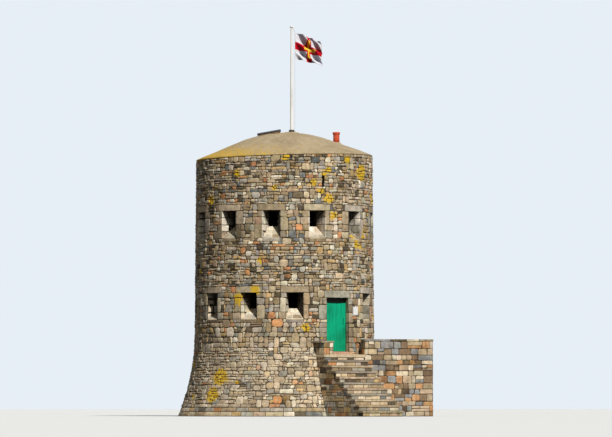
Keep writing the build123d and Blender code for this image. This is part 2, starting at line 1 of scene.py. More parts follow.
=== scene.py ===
# %% [markdown]
# The loophole tower, dressed for its picture.
# The packed CAD model already holds the tower's solid parts, each a node in its own place. This lesson adds
# what solids can't show well, which is every stone, joint, board and fold, and gives all of it a finish.
# Places are in metres, with the origin on the tower's axis at the foot, +Z up and the door towards -Y. An
# azimuth is measured from the door, positive to the right for someone who faces the door.

# %% The fixed frame
import math

import bmesh
import bpy
import numpy as np
from mathutils import Matrix, Vector, noise as noise_field


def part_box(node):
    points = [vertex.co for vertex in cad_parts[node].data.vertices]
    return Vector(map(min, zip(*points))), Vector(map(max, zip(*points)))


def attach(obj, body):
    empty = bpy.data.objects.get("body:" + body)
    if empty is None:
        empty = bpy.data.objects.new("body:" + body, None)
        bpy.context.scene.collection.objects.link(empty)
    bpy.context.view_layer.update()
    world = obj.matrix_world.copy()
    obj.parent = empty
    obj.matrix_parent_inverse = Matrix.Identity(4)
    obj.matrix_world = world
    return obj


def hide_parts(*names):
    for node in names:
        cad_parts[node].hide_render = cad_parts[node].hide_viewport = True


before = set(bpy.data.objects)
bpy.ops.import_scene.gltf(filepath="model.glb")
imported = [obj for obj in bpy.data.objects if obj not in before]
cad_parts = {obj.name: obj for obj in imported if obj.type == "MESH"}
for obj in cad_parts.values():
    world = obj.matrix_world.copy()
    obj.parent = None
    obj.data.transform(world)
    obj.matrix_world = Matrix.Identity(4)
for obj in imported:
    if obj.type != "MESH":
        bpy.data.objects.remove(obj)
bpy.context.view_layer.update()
scene = bpy.context.scene
rng = np.random.default_rng(11)
print("CAD nodes", len(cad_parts))

# %% [markdown]
# Real masons set out a tower by its levels: the foot, the door's floor, sills, heads and lintels. They
# could be typed in again, but read from the CAD nodes they always fit what the solids say.

# %% Levels of the storeys


def levels_of(node):
    """Lowest and highest level of a CAD node."""
    low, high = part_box(node)
    return low.z, high.z


FOOT_TOP = levels_of("foot_course")[1]
ENTRANCE_LEVEL, LOWER_SILL = levels_of("entrance_wall_right")
LOWER_HEAD, UPPER_SILL = levels_of("middle_wall_back")
UPPER_HEAD = levels_of("upper_piers")[1]
LOWER_SILL_FOOT = levels_of("lower_sills")[0]
UPPER_SILL_FOOT = levels_of("upper_sills")[0]
LOWER_LINTEL_TOP = levels_of("lower_lintels")[1]
UPPER_LINTEL_TOP = levels_of("upper_lintels")[1]
DOOR_HEAD, DOOR_LINTEL_TOP = levels_of("door_lintel")
LANDING_TOP = levels_of("landing")[1]
PLATE_LEVELS = levels_of("wall_plate")
shown = (FOOT_TOP, ENTRANCE_LEVEL, LOWER_SILL, LOWER_HEAD, UPPER_SILL, UPPER_HEAD)
print("levels", [round(level, 3) for level in shown])

# %% [markdown]
# The wall's outer face is a hollow batter up to 2.9 m, then a very slight taper up to a head that slopes a
# little. Stones could be modelled flat and bent round with a modifier, but the batter, the taper and the
# slope would then all need correcting. A function of the face lets each stone be placed straight on it.

# %% Sizes of the wall
WALL_RADIUS = 3.085
HEAD_RADIUS = 3.035
WALL_HEAD = 8.9
BATTER_TOP = 2.9
BATTER_ARC = 7.5
TAPER = (WALL_RADIUS - HEAD_RADIUS) / (WALL_HEAD - BATTER_TOP)
HEAD_TILT = math.radians(1.7)
FALL_AZIMUTH = math.radians(-126.9)
CAP_RADIUS = 3.06
GIRTH = 2 * math.pi * WALL_RADIUS
SLIT_LEVELS = (7.83, 8.21)


def wall_face(z):
    """Radius of the wall's outer face at a level, and the rise of its normal."""
    below = np.clip(BATTER_TOP - z, 0, BATTER_TOP)
    radius = WALL_RADIUS + BATTER_ARC - np.sqrt(BATTER_ARC**2 - below**2)
    return radius - TAPER * np.clip(z - BATTER_TOP, 0, None), below / BATTER_ARC


def wall_radius(level):
    """Radius of the outer face at one level, as a plain number."""
    return float(wall_face(np.array(level))[0])


def on_tower(u, v, w):
    """Points at arc length u from the door, level v and depth w outside the wall's face."""
    azimuth = u / WALL_RADIUS
    tilt = -CAP_RADIUS * math.tan(HEAD_TILT) * np.cos(azimuth - FALL_AZIMUTH)
    share = np.clip((v - SLIT_LEVELS[1]) / (WALL_HEAD - SLIT_LEVELS[1]), 0, 1)
    z = v + share * tilt
    radius, rise = wall_face(z)
    out = radius + w * np.sqrt(1 - rise**2)
    return np.stack([out * np.sin(azimuth), -out * np.cos(azimuth), z + w * rise], axis=-1)


print("radius at the foot and the head", round(wall_radius(0.0), 3), round(wall_radius(WALL_HEAD), 3))

# %% [markdown]
# Stairs, jambs and the wing wall have flat faces. The same stones fit them if a face is described as the
# tower's is: by a function that turns two lengths on the face and a depth into a point in space.

# %% Flat faces


def on_face(origin, right, up):
    """A place function for a flat face, given its directions to the right and up as seen from outside."""
    origin, right, up = np.array(origin, float), np.array(right, float), np.array(up, float)
    normal = np.cross(right, up)

    def place(u, v, w):
        return origin + u[..., None] * right + v[..., None] * up + w[..., None] * normal

    return place


def on_plane(origin, normal):
    """A place function for an upright flat face with a given plan origin and plan normal."""
    return on_face((*origin, 0.0), (-normal[1], normal[0], 0.0), (0.0, 0.0, 1.0))


print("a point 1 m up a face towards the door", on_plane((0, -3), (0, -1))(*np.array([0.0, 1.0, 0.0])))

# %% [markdown]
# The photograph was taken from far off with a long lens, so upright lines stay nearly parallel. From close
# by, the roof would sink behind the wall head and the tower would seem to lean back. So the camera stands
# 160 m away, to the left of the door and little above the tower's foot, with no shift.

# %% Camera
CAMERA_AZIMUTH = math.radians(-36.9)
CAMERA_DISTANCE = 160.0
CAMERA_LEVEL = 0.4
VIEW_WIDTH = 21.2
VIEW_MIDDLE = 6.85
VIEW_RIGHT = 0.75
SENSOR = 36.0

camera_data = bpy.data.cameras.new("camera")
camera_data.sensor_width = SENSOR
camera_data.lens = SENSOR * CAMERA_DISTANCE / VIEW_WIDTH
camera_data.clip_end = 1000.0
camera_data.dof.use_dof = False
camera = bpy.data.objects.new("camera", camera_data)
scene.collection.objects.link(camera)
towards = Vector((math.sin(CAMERA_AZIMUTH), -math.cos(CAMERA_AZIMUTH), 0))
sideways = Vector((math.cos(CAMERA_AZIMUTH), math.sin(CAMERA_AZIMUTH), 0))
target = sideways * VIEW_RIGHT + Vector((0, 0, VIEW_MIDDLE))
camera.location = sideways * VIEW_RIGHT + towards * CAMERA_DISTANCE + Vector((0, 0, CAMERA_LEVEL))
camera.rotation_euler = (target - camera.location).to_track_quat("-Z", "Y").to_euler()
scene.camera = camera
print("lens", round(camera_data.lens, 1))

# %% [markdown]
# A colour picked from a picture is a display value, but shaders count light, where half as bright is half
# the number. So colours are written as they look and turned into linear values on the way in.

# %% Colours
GREY = (0.5, 0.5, 0.5, 1.0)


def linear(red, green, blue):
    """A colour given in 0 to 255 display values, as the linear values that shaders use."""
    return tuple((value / 255.0) ** 2.2 for value in (red, green, blue))


print("a middle display grey is", round(linear(128, 128, 128)[0], 3), "in linear light")

# %% [markdown]
# Shader nodes can be joined by hand in the editor. A script says the same in few words once small helpers
# add a node, fill its sockets and mix colours. The world light, the shared effects and all finishes use
# them.

# %% A builder for shader nodes


class Nodes:
    """Adds shader nodes to a tree with plain calls."""

    def __init__(self, tree):
        self.tree = tree

    def give(self, socket, value):
        """Fills a socket from another socket, or with a number, a colour or a vector."""
        if isinstance(value, bpy.types.NodeSocket):
            self.tree.links.new(value, socket)
        elif socket.type == "RGBA":
            socket.default_value = (*value[:3], 1.0)
        else:
            socket.default_value = value

    def add(self, kind, inputs=None, **settings):
        """Adds a node with its settings, fills its inputs by name or number, and returns its outputs."""
        node = self.tree.nodes.new(f"ShaderNode{kind}")
        for name, value in settings.items():
            setattr(node, name, value)
        for socket, value in (inputs or {}).items():
            self.give(node.inputs[socket], value)
        return node.outputs

    def math(self, operation, first, second=0.0):
        return self.add("Math", {0: first, 1: second}, operation=operation)[0]

    def times(self, first, second):
        return self.math("MULTIPLY", first, second)

    def plus(self, first, second):
        return self.math("ADD", first, second)

    def noise(self, vector, scale, detail, roughness):
        values = {"Vector": vector, "Scale": scale, "Detail": detail, "Roughness": roughness}
        return self.add("TexNoise", values)["Fac"]

    def ramp(self, factor, low, high, start=0.0, end=1.0):
        """Maps a range of a factor onto another range, smoothly."""
        values = {"Value": factor, "From Min": low, "From Max": high, "To Min": start, "To Max": end}
        return self.add("MapRange", values, interpolation_type="SMOOTHSTEP")["Result"]

    def mix(self, blend, factor, first, second):
        """Mixes two colours, each a socket or a plain colour."""
        values = {"Factor": factor, "A": first, "B": second}
        return self.add("Mix", values, data_type="RGBA", blend_type=blend)["Result"]

    def stretched(self, vector, scale):
        """A vector scaled by its own amount along each axis."""
        return self.add("Mapping", {"Vector": vector, "Scale": scale})[0]


print("ready-made calls", [name for name in vars(Nodes) if not name.startswith("_")])

# %% [markdown]
# In the photograph the sun stands behind the camera and to its right, so the tower darkens towards its
# left edge. An area lamp would soften the shadows in the loopholes, so a sun lamp with a narrow angle casts
# them, a weak broad one lifts the far side, and an even world light does the rest. Seen directly or in a
# reflection the world is a plain pale backdrop, and for lighting it is far weaker.

# %% Sun, fill and world light
SUN_AZIMUTH = math.radians(-12.0)
SUN_ELEVATION = math.radians(42.0)
SUN_STRENGTH = 4.4
FILL_ELEVATION = math.radians(35.0)
FILL_STRENGTH = 0.35
WORLD_COLOUR = (0.84, 0.92, 1.0)
WORLD_STRENGTH = 0.11
BACKDROP = (0.80, 0.86, 0.92)


def sun(name, azimuth, elevation, strength, width, colour):
    """A sun lamp that shines from an azimuth and elevation."""
    data = bpy.data.lights.new(name, "SUN")
    data.energy = strength
    data.angle = math.radians(width)
    data.color = colour
    lamp = bpy.data.objects.new(name, data)
    level = math.cos(elevation)
    source = Vector((math.sin(azimuth) * level, -math.cos(azimuth) * level, math.sin(elevation)))
    lamp.rotation_euler = source.to_track_quat("Z", "Y").to_euler()
    scene.collection.objects.link(lamp)


sun("key_light", SUN_AZIMUTH, SUN_ELEVATION, SUN_STRENGTH, 1.5, (1.0, 0.975, 0.94))
sun("fill_light", SUN_AZIMUTH + math.pi, FILL_ELEVATION, FILL_STRENGTH, 40.0, (0.9, 0.95, 1.0))

scene.world = bpy.data.worlds.new("studio")
scene.world.use_nodes = True
world = Nodes(scene.world.node_tree)
world.tree.nodes.clear()
rays = world.add("LightPath")
plain = world.math("MAXIMUM", rays["Is Camera Ray"], rays["Is Glossy Ray"])
plain = world.math("MAXIMUM", plain, rays["Is Transmission Ray"])
lighting = world.add("Background", {"Color": WORLD_COLOUR, "Strength": WORLD_STRENGTH})
seen = world.add("Background", {"Color": BACKDROP})
both = world.add("MixShader", {"Fac": plain, 1: lighting[0], 2: seen[0]})
world.add("OutputWorld", {"Surface": both[0]})
scene.view_settings.view_transform = "Standard"
print("sun at", round(math.degrees(SUN_AZIMUTH)), round(math.degrees(SUN_ELEVATION)), "degrees")

# %% [markdown]
# Several finishes share an effect: the grain of stone, lichen, the grain of wood, and dirt that rain has
# washed down. Built again in every material, the copies would drift apart. So each effect is a node group
# that is built once, with named sockets for its values.

# %% A builder for shared effects
EFFECTS = {}


class Effect(Nodes):
    """A shader node group that takes a vector and more, and puts out a colour and one more value."""

    def __init__(self, name, second, **inputs):
        super().__init__(bpy.data.node_groups.new(name, "ShaderNodeTree"))
        new_socket = self.tree.interface.new_socket
        new_socket("Vector", in_out="INPUT", socket_type="NodeSocketVector")
        for title, value in inputs.items():
            kind = "Color" if isinstance(value, tuple) else "Float"
            new_socket(title, in_out="INPUT", socket_type=f"NodeSocket{kind}").default_value = value
        new_socket("Colour", in_out="OUTPUT", socket_type="NodeSocketColor")
        new_socket(second, in_out="OUTPUT", socket_type="NodeSocketFloat")
        self.given = self.tree.nodes.new("NodeGroupInput").outputs
        self.result = self.tree.nodes.new("NodeGroupOutput").inputs

    def puts_out(self, colour, value):
        """Ends the group and keeps it for the finishes."""
        self.give(self.result[0], colour)
        self.give(self.result[1], value)
        EFFECTS[self.tree.name] = self.tree
        print("effect", self.tree.name, "nodes", len(self.tree.nodes))


# %% [markdown]
# Weathered stone is mottled in broad patches, speckled finely, and pitted. A single noise looks like fog,
# so two sizes of noise are added and a cell pattern makes the pits. The same patterns give the height of
# the bump.

# %% Grain of stone
mottle = Effect("stone_grain", "Height", Colour=GREY, Scale=8.0, Contrast=0.5)
vector, scale = mottle.given["Vector"], mottle.given["Scale"]
broad = mottle.noise(vector, scale, 4.0, 0.55)
fine = mottle.noise(vector, mottle.times(scale, 7.0), 6.0, 0.7)
cells = mottle.add("TexVoronoi", {"Vector": vector, "Scale": mottle.times(scale, 5.0)})
pits = mottle.ramp(cells["Distance"], 0.05, 0.42)
both = mottle.plus(mottle.times(broad, 0.6), mottle.times(fine, 0.4))
swing = mottle.times(mottle.math("SUBTRACT", both, 0.5), mottle.given["Contrast"])
factor = mottle.plus(mottle.times(swing, 4.0), 1.0)
factor = mottle.times(factor, mottle.ramp(pits, 0.0, 1.0, 0.82, 1.0))
shade = mottle.add("CombineColor", dict.fromkeys(("Red", "Green", "Blue"), factor))[0]
colour = mottle.mix("MULTIPLY", 1.0, mottle.given["Colour"], shade)
mottle.puts_out(colour, mottle.plus(mottle.times(both, 0.7), mottle.times(pits, 0.3)))

# %% [markdown]
# Lichen is a golden crust with a ragged edge, and here and there a pale grey one. A painted mask would need
# an image, so a fine noise is cut off at a level that sinks as the amount rises, and the patches grow
# outwards by themselves.

# %% Lichen
GOLDEN = (*linear(224, 182, 18), 1.0)
OLD_GOLD = linear(180, 146, 44)
PALE_CRUST = linear(198, 190, 170)

growth = Effect("growth", "Cover", Colour=GREY, Amount=0.0, Crust=GOLDEN)
vector = growth.given["Vector"]
edge = growth.math("SUBTRACT", 1.0, growth.given["Amount"])
crust = growth.noise(vector, 9.0, 7.0, 0.75)
cover = growth.ramp(crust, growth.math("SUBTRACT", edge, 0.16), growth.plus(edge, 0.02))
tone = growth.ramp(growth.noise(vector, 26.0, 3.0, 0.6), 0.4, 0.62)
crusted = growth.mix("MIX", tone, growth.given["Crust"], OLD_GOLD)
colour = growth.mix("MIX", growth.times(cover, 0.9), growth.given["Colour"], crusted)
pale = growth.ramp(growth.noise(vector, 6.0, 6.0, 0.75), 0.58, 0.64)
growth.puts_out(growth.mix("MIX", growth.times(pale, 0.4), colour, PALE_CRUST), cover)

# %% [markdown]
# The grain of a board runs along it, and so do the marks of a paint brush. Blender's wave texture makes
# even stripes, which wood never has. Noise drawn out along one axis, by the vector that each finish gives,
# looks sawn and weathered.

# %% Grain of wood
wood = Effect("wood_grain", "Height", Light=GREY, Dark=GREY)
vector = wood.given["Vector"]
broad = wood.noise(vector, 6.0, 3.0, 0.5)
lines = wood.noise(vector, 30.0, 6.0, 0.7)
both = wood.plus(wood.times(broad, 0.5), wood.times(lines, 0.5))
tone = wood.ramp(both, 0.38, 0.62)
wood.puts_out(wood.mix("MIX", tone, wood.given["Dark"], wood.given["Light"]), both)

# %% [markdown]
# Rain carries dirt down a wall in long streaks and leaves broad blotches. Both are noise, one of them drawn
# out upright, and the darker of the two at each place wins.

# %% Dirt
dirt = Effect("streaks", "Cover", Colour=GREY, Dirt=GREY, Amount=0.4)
upright = dirt.stretched(dirt.given["Vector"], (3.0, 3.0, 0.35))
runs = dirt.ramp(dirt.noise(upright, 3.0, 6.0, 0.65), 0.48, 0.72)
blotches = dirt.ramp(dirt.noise(dirt.given["Vector"], 1.1, 4.0, 0.6), 0.42, 0.70)
cover = dirt.times(dirt.math("MAXIMUM", runs, blotches), dirt.given["Amount"])
dirt.puts_out(dirt.mix("MULTIPLY", cover, dirt.given["Colour"], dirt.given["Dirt"]), cover)

# %% [markdown]
# A finish starts with the Principled shader and a vector in object space, places shared effects one over
# the other, and ends with a bump from the height that the grain gives. Object space is chosen because it
# runs on over neighbouring stones without a seam and needs no unwrapping.

# %% A builder for finishes


class Finish(Nodes):
    """One material, built from the shared effects."""

    def __init__(self, name, roughness, specular):
        self.material = bpy.data.materials.new(name)
        self.material.use_nodes = True
        super().__init__(self.material.node_tree)
        self.shader = self.tree.nodes["Principled BSDF"].inputs
        self.shader["Roughness"].default_value = roughness
        self.shader["Specular IOR Level"].default_value = specular
        self.where = self.add("TexCoord")["Object"]

    def effect(self, name, **values):
        """Places a shared effect; a value is a number, a colour or a socket."""
        return self.add("Group", {"Vector": self.where, **values}, node_tree=EFFECTS[name])

    def attribute(self, name):
        return self.add("Attribute", attribute_name=name)

    def done(self, colour, height=None, relief=0.01, strength=0.6):
        """Joins colour and height to the shader and returns the material."""
        self.give(self.shader["Base Color"], colour)
        if height is not None:
            bump = self.add("Bump", {"Distance": relief, "Strength": strength, "Height": height})
            self.give(self.shader["Normal"], bump["Normal"])
        return self.material

    def washed(self, colour, height, dirt, bump):
        """Ends a finish with dirt, given as a display colour and an amount; bump is relief and strength."""
        tone, amount = dirt
        over = self.effect("streaks", Colour=colour, Dirt=linear(*tone), Amount=amount)
        return self.done(over["Colour"], height, *bump)


def grained_finish(name, colour, shader, grain, dirt, bump):
    """One colour, grained and dirty: shader is roughness and specular, grain is scale and contrast."""
    finish = Finish(name, *shader)
    body = finish.effect("stone_grain", Colour=linear(*colour), Scale=grain[0], Contrast=grain[1])
    return finish.washed(body["Colour"], body["Height"], dirt, bump)


def brushed_finish(name, shader, stretch, light, dark, dirt, bump):
    """A long grain in two tones, as of boards or brushed paint, with dirt washed down it."""
    finish = Finish(name, *shader)
    vector = finish.stretched(finish.where, stretch)
    body = finish.effect("wood_grain", Vector=vector, Light=light, Dark=dark)
    return finish.washed(body["Colour"], body["Height"], dirt, bump)


print("a finish can place", sorted(EFFECTS))

# %% [markdown]
# The wall is local field stone of many tints in dirty lime mortar. One material per tint would do, but a
# colour stored at each stone's points gives thousands of tints with a single material, and a second stored
# value says how much lichen grows there. Sills and copings are worked stone of one even colour.

# %% Finishes of stone and mortar
rubble = Finish("rubble_stone", 0.92, 0.2)
# The stored tint is each stone's own colour, and in the splays and sloping sills it also carries painted
# shade.
tint = rubble.attribute("tint")["Color"]
body = rubble.effect("stone_grain", Colour=tint, Scale=6.5, Contrast=0.62)
dirty = rubble.effect("streaks", Colour=body["Colour"], Dirt=linear(146, 134, 116), Amount=0.45)
grown = rubble.effect("growth", Colour=dirty["Colour"], Amount=rubble.attribute("lichen")["Fac"])
RUBBLE = rubble.done(grown["Colour"], body["Height"], 0.014, 0.8)


def mortar_finish(name, colour):
    """Coarse lime mortar between and behind the stones, darkened by dirt."""
    return grained_finish(name, colour, (0.96, 0.15), (22.0, 0.6), ((120, 108, 90), 0.6), (0.02, 0.9))


def dressed_finish(name, colour):
    """Worked stone of one colour, as on sills, treads and copings."""
    finish = Finish(name, 0.85, 0.25)
    body = finish.effect("stone_grain", Colour=linear(*colour), Scale=7.0, Contrast=0.3)
    grown = finish.effect("growth", Colour=body["Colour"], Amount=0.30)
    return finish.washed(grown["Colour"], body["Height"], ((130, 118, 100), 0.4), (0.008, 0.6))


MORTAR = mortar_finish("lime_mortar", (78, 68, 54))
NEW_MORTAR = mortar_finish("fresh_mortar", (94, 82, 65))
DRESSED = dressed_finish("worked_stone", (196, 178, 148))
LIMEWASH = dressed_finish("limewashed_stone", (206, 190, 162))
THRESHOLD_STONE = dressed_finish("threshold_stone", (190, 152, 128))
print("finishes", RUBBLE.name, MORTAR.name, DRESSED.name)

# %% [markdown]
# The floor is one plain pale plane, so that nothing draws the eye from the tower. A truly pale floor would
# throw light up into the loopholes and under the lintels, where the real ones are dark. So it is pale to
# the camera alone, and dark to all other rays.

# %% Floor
FLOOR_SIZE = 400.0
FLOOR_COLOUR = (0.72, 0.72, 0.70)
FLOOR_BOUNCE = (0.14, 0.13, 0.12)


def deselect():
    """Leaves nothing selected, so that an operator works on its own object alone."""
    for item in bpy.context.selected_objects:
        item.select_set(False)


deselect()
bpy.ops.mesh.primitive_plane_add(size=FLOOR_SIZE, location=(0, 0, 0))
floor = bpy.context.object
floor.name = "floor"
floor_paint = Finish("floor_paint", 0.8, 0.3)
camera_ray = floor_paint.add("LightPath")["Is Camera Ray"]
floor_colour = floor_paint.mix("MIX", camera_ray, FLOOR_BOUNCE, FLOOR_COLOUR)
floor.data.materials.append(floor_paint.done(floor_colour))
print("floor", FLOOR_SIZE, "m wide")

# %% [markdown]
# A field stone has blunt corners and a bulging, uneven face. Sculpting thousands of them is out of the
# question, so a few masters are modelled as by hand. In the viewport one would click on the edges or faces
# to change. A script asks each of them where it lies or where it faces, and selects those that fit.

# %% Taking hold of a block
CORNERS = ((-1, -1), (1, -1), (1, 1), (-1, 1))


def select_where(kind, test):
    """In edit mode, selects just the faces or just the edges that pass a test."""
    mesh = bmesh.from_edit_mesh(bpy.context.object.data)
    bpy.ops.mesh.select_all(action="DESELECT")
    bpy.ops.mesh.select_mode(type=kind)
    for part in mesh.faces if kind == "FACE" else mesh.edges:
        part.select_set(bool(test(part)))
    mesh.select_flush_mode()
    bmesh.update_edit_mesh(bpy.context.object.data)


def at_corner(edge, right, up):
    """True for a deep edge of the block at one corner of its face."""
    a, b = (vertex.co for vertex in edge.verts)
    return abs(a.z - b.z) > 1.0 and a.x * right > 0.99 and a.y * up > 0.99


def points_and_faces(piece):
    """Takes an object's points and faces out of the scene, for use as a pattern."""
    points = np.array([tuple(vertex.co) for vertex in piece.data.vertices])
    faces = [tuple(face.vertices) for face in piece.data.polygons]
    bpy.data.objects.remove(piece)
    return points, faces


print("corners to cut back on each block", len(CORNERS))

# %% [markdown]
# Each master starts as a block two units wide. Its corners are cut back, its face is inset, raised twice
# and crowned, and its points are moved a little. Eight of a kind are enough, because every stone takes its
# own width, height, corners and depth from its slot.

# %% Master stones
MASTER_COUNT = 8


def master_stone(seed, corner, chamfer, crown, rough):
    """Points and faces of one stone: width and height from -1 to 1, its face near depth 1."""
    deselect()
    bpy.ops.mesh.primitive_cube_add(size=2.0, location=(0, 0, 0))
    stone = bpy.context.object
    bpy.ops.object.mode_set(mode="EDIT")
    cuts = np.random.default_rng(seed).uniform(*corner, 4)
    for (right, up), cut in zip(CORNERS, cuts):
        select_where("EDGE", lambda edge: at_corner(edge, right, up))
        bpy.ops.mesh.bevel(offset=cut, segments=1, affect="EDGES")
    select_where("FACE", lambda face: face.normal.z > 0.9)
    bpy.ops.transform.translate(value=(0, 0, -0.5))
    bpy.ops.mesh.inset(thickness=chamfer, depth=0.30)
    bpy.ops.mesh.inset(thickness=0.34, depth=0.5 * crown)
    bpy.ops.mesh.poke(offset=0.5 * crown)
    select_where("FACE", lambda face: face.calc_center_median().z > 0.52)
    bpy.ops.transform.vertex_random(offset=rough, uniform=0.0, normal=0.0, seed=seed)
    bpy.ops.object.mode_set(mode="OBJECT")
    points, faces = points_and_faces(stone)
    points[:, :2] = np.clip(points[:, :2], -1, 1)
    points[:, 2] = (points[:, 2] + 1) / 2
    return points, faces


def master_set(first_seed, *shape):
    """Masters of one kind, each from a seed of its own."""
    return [master_stone(first_seed + number, *shape) for number in range(MASTER_COUNT)]


ROUGH_MASTERS = master_set(1, (0.12, 0.62), 0.15, 0.24, 0.13)
BLUNT_MASTERS = master_set(41, (0.08, 0.36), 0.12, 0.20, 0.10)
SQUARE_MASTERS = master_set(21, (0.06, 0.2), 0.10, 0.14, 0.05)
print("points and faces of a master", len(ROUGH_MASTERS[0][0]), len(ROUGH_MASTERS[0][1]))

# %% [markdown]
# The stones range from cream and tan to slate and rust. One tint for all would look like a brick wall, and
# a free choice of colour like a mosaic. So each kind of stone has a few tints with their shares, and each
# stone varies one of them a little in brightness and hue.

# %% Tints of the stones
BRIGHTEST = 1.26
TINTS = {
    "tan": ((190, 172, 142), 0.26), "brown": ((162, 142, 113), 0.20), "grey": ((168, 161, 146), 0.19),
    "cream": ((214, 202, 178), 0.11), "ochre": ((190, 160, 112), 0.08), "rust": ((194, 138, 94), 0.04),
    "slate": ((124, 127, 124), 0.04), "dark": ((92, 82, 67), 0.08),
}
DRESSED_TINTS = {
    "cream": ((192, 178, 153), 0.08), "tan": ((176, 159, 132), 0.34), "grey": ((162, 154, 139), 0.26),
    "brown": ((156, 137, 110), 0.25), "rust": ((172, 146, 118), 0.07),
}
LINTEL_TINTS = {
    "grey": ((164, 156, 142), 0.40), "brown": ((158, 141, 117), 0.30), "tan": ((174, 158, 133), 0.30),
}
LIMEWASH_TINTS = {
    "white": ((236, 226, 206), 0.62), "cream": ((222, 208, 182), 0.30), "bare": ((190, 168, 138), 0.08),
}
WING_TINTS = {
    "tan": ((178, 158, 130), 0.28), "orange": ((186, 142, 100), 0.13), "grey": ((140, 140, 138), 0.20),
    "cream": ((216, 202, 174), 0.14), "brown": ((126, 106, 84), 0.25),
}
TREAD_TINTS = {
    "tan": ((166, 148, 122), 0.5), "cream": ((182, 166, 140), 0.25), "grey": ((150, 141, 126), 0.25),
}


def pick_tints(count, tints, spread=1.0):
    """One tint for each stone, with its own brightness; a small spread keeps them alike."""
    colours = np.array([linear(*colour) for colour, _ in tints.values()])
    weights = np.array([weight for _, weight in tints.values()])
    chosen = colours[rng.choice(len(colours), count, p=weights / weights.sum())]
    brightness = 1 + spread * (BRIGHTEST * rng.beta(5.0, 1.5, (count, 1)) - 1)
    return chosen * brightness * rng.lognormal(0, 0.022, (count, 3))


print("tints of the rubble", sorted(TINTS))

# %% [markdown]
# Golden lichen grows in round patches, thickest where rain runs off the wall head. A texture over the whole
# wall would spread it evenly, so the patches that can be seen in the photograph are placed one by one, and
# small ones are scattered over the rest.

# %% Lichen on the wall
LICHEN_BASE = 0.28
LARGE_PATCH = 0.2
THICK, THIN = 0.70, 0.42
# Azimuth in degrees, level and reach in metres
LICHEN_PATCHES = [
    (-78.6, 1.34, 0.23), (-82.5, 0.72, 0.21), (-114.0, 1.78, 0.10), (-67.5, 4.05, 0.16),
    (-68.6, 8.28, 0.10), (-43.0, 7.78, 0.09), (-35.8, 8.84, 0.12), (-7.2, 8.39, 0.10), (-10.7, 8.23, 0.09),
    (-17.6, 7.98, 0.10), (-12.4, 7.67, 0.09), (-7.2, 7.42, 0.15), (8.3, 8.79, 0.13), (23.0, 8.36, 0.22),
    (42.0, 7.52, 0.18), (-3.9, 6.86, 0.13), (14.0, 6.20, 0.14), (25.0, 6.15, 0.09), (21.0, 5.79, 0.08),
]
SMALL_PATCHES = 34
for _ in range(SMALL_PATCHES):
    LICHEN_PATCHES.append((rng.uniform(-180, 180), rng.uniform(0.4, 8.7), rng.uniform(0.05, 0.16)))


def lichen_at(points):
    """Share of lichen at points on or near the tower's outer face."""
    share = np.full(len(points), LICHEN_BASE)
    for azimuth, level, reach in LICHEN_PATCHES:
        angle = math.radians(azimuth)
        radius = wall_radius(level)
        place = np.array([radius * math.sin(angle), -radius * math.cos(angle), level])
        gap = np.linalg.norm(points - place, axis=1)
        thick = THICK if reach > LARGE_PATCH else THIN
        share = np.maximum(share, LICHEN_BASE + thick * np.clip(1.5 - gap / reach, 0, 1))
    return share


print("patches of lichen", len(LICHEN_PATCHES))

# %% [markdown]
# A mason fills a gap in the course with the stone that fits it. Here the gap comes first too: a slot is
# four corners on a face, in metres, and laying fills each slot with a master, pushed out a little by
# chance, with the joint kept clear all round. All stones of a call are worked out at once, as arrays.

# %% Laying stones
JOINT = 0.007
BED_DEPTH = 0.03
FLOOR_GAP = 0.004
CORNER_SHARE = 0.45


def keep_corners(x, share):
    """Moves a unit shape's points outwards so that its cut corners stay as wide as they are high."""
    size = np.abs(x)
    shift = np.clip(size / CORNER_SHARE, 0, 1)
    return np.sign(x) * (size * share + (1 - share) * shift)


def lay(slots, masters, place, proud, tints, shift=0.0, spread=1.0):
    """Points, faces and tints of stones in slots; proud is the least and most that they stand out."""
    slots = np.asarray(slots, float)
    slots = slots + rng.normal(0, shift, slots.shape)
    slots[..., 1] = np.maximum(slots[..., 1], FLOOR_GAP)
    count = len(slots)
    points = np.stack([master[0] for master in masters])
    shape = points[rng.integers(len(masters), size=count)]
    turn = rng.choice([-1.0, 1.0], size=(count, 1))
    width = (slots[:, 1, 0] - slots[:, 0, 0] + slots[:, 2, 0] - slots[:, 3, 0])[:, None] / 4
    height = (slots[:, 3, 1] - slots[:, 0, 1] + slots[:, 2, 1] - slots[:, 1, 1])[:, None] / 4
    least = np.minimum(width, height)
    x = keep_corners(shape[..., 0] * turn, least / width) * (1 - JOINT / width)
    y = keep_corners(shape[..., 1] * turn, least / height) * (1 - JOINT / height)
    s, t = (1 + x) / 2, (1 + y) / 2
    shares = ((1 - s) * (1 - t), s * (1 - t), s * t, (1 - s) * t)
    flat = sum(slots[:, corner, None, :] * share[..., None] for corner, share in enumerate(shares))
    stand = rng.uniform(*proud, (count, 1))
    solid = place(flat[..., 0], flat[..., 1], -BED_DEPTH + shape[..., 2] * (BED_DEPTH + stand))
    each = solid.shape[1]
    firsts = range(0, count * each, each)
    faces = [tuple(index + first for index in face) for first in firsts for face in masters[0][1]]
    colours = np.repeat(pick_tints(count, tints, spread), each, axis=0)
    return solid.reshape(-1, 3), faces, colours


print("joints are", 2000 * JOINT, "mm wide, beds", 1000 * BED_DEPTH, "mm deep")

# %% [markdown]
# Thousands of single stones would be thousands of objects, which is slow. Nobody needs to move one alone,
# so the lots that belong together become one mesh, which rides on the tower and takes a material slot.

# %% One piece from many stones


def new_piece(name, points, edges, faces):
    """A new object from points, edges and faces, selected and active."""
    mesh = bpy.data.meshes.new(name)
    mesh.from_pydata(points, edges, faces)
    piece = bpy.data.objects.new(name, mesh)
    scene.collection.objects.link(piece)
    deselect()
    piece.select_set(True)
    bpy.context.view_layer.objects.active = piece
    return piece


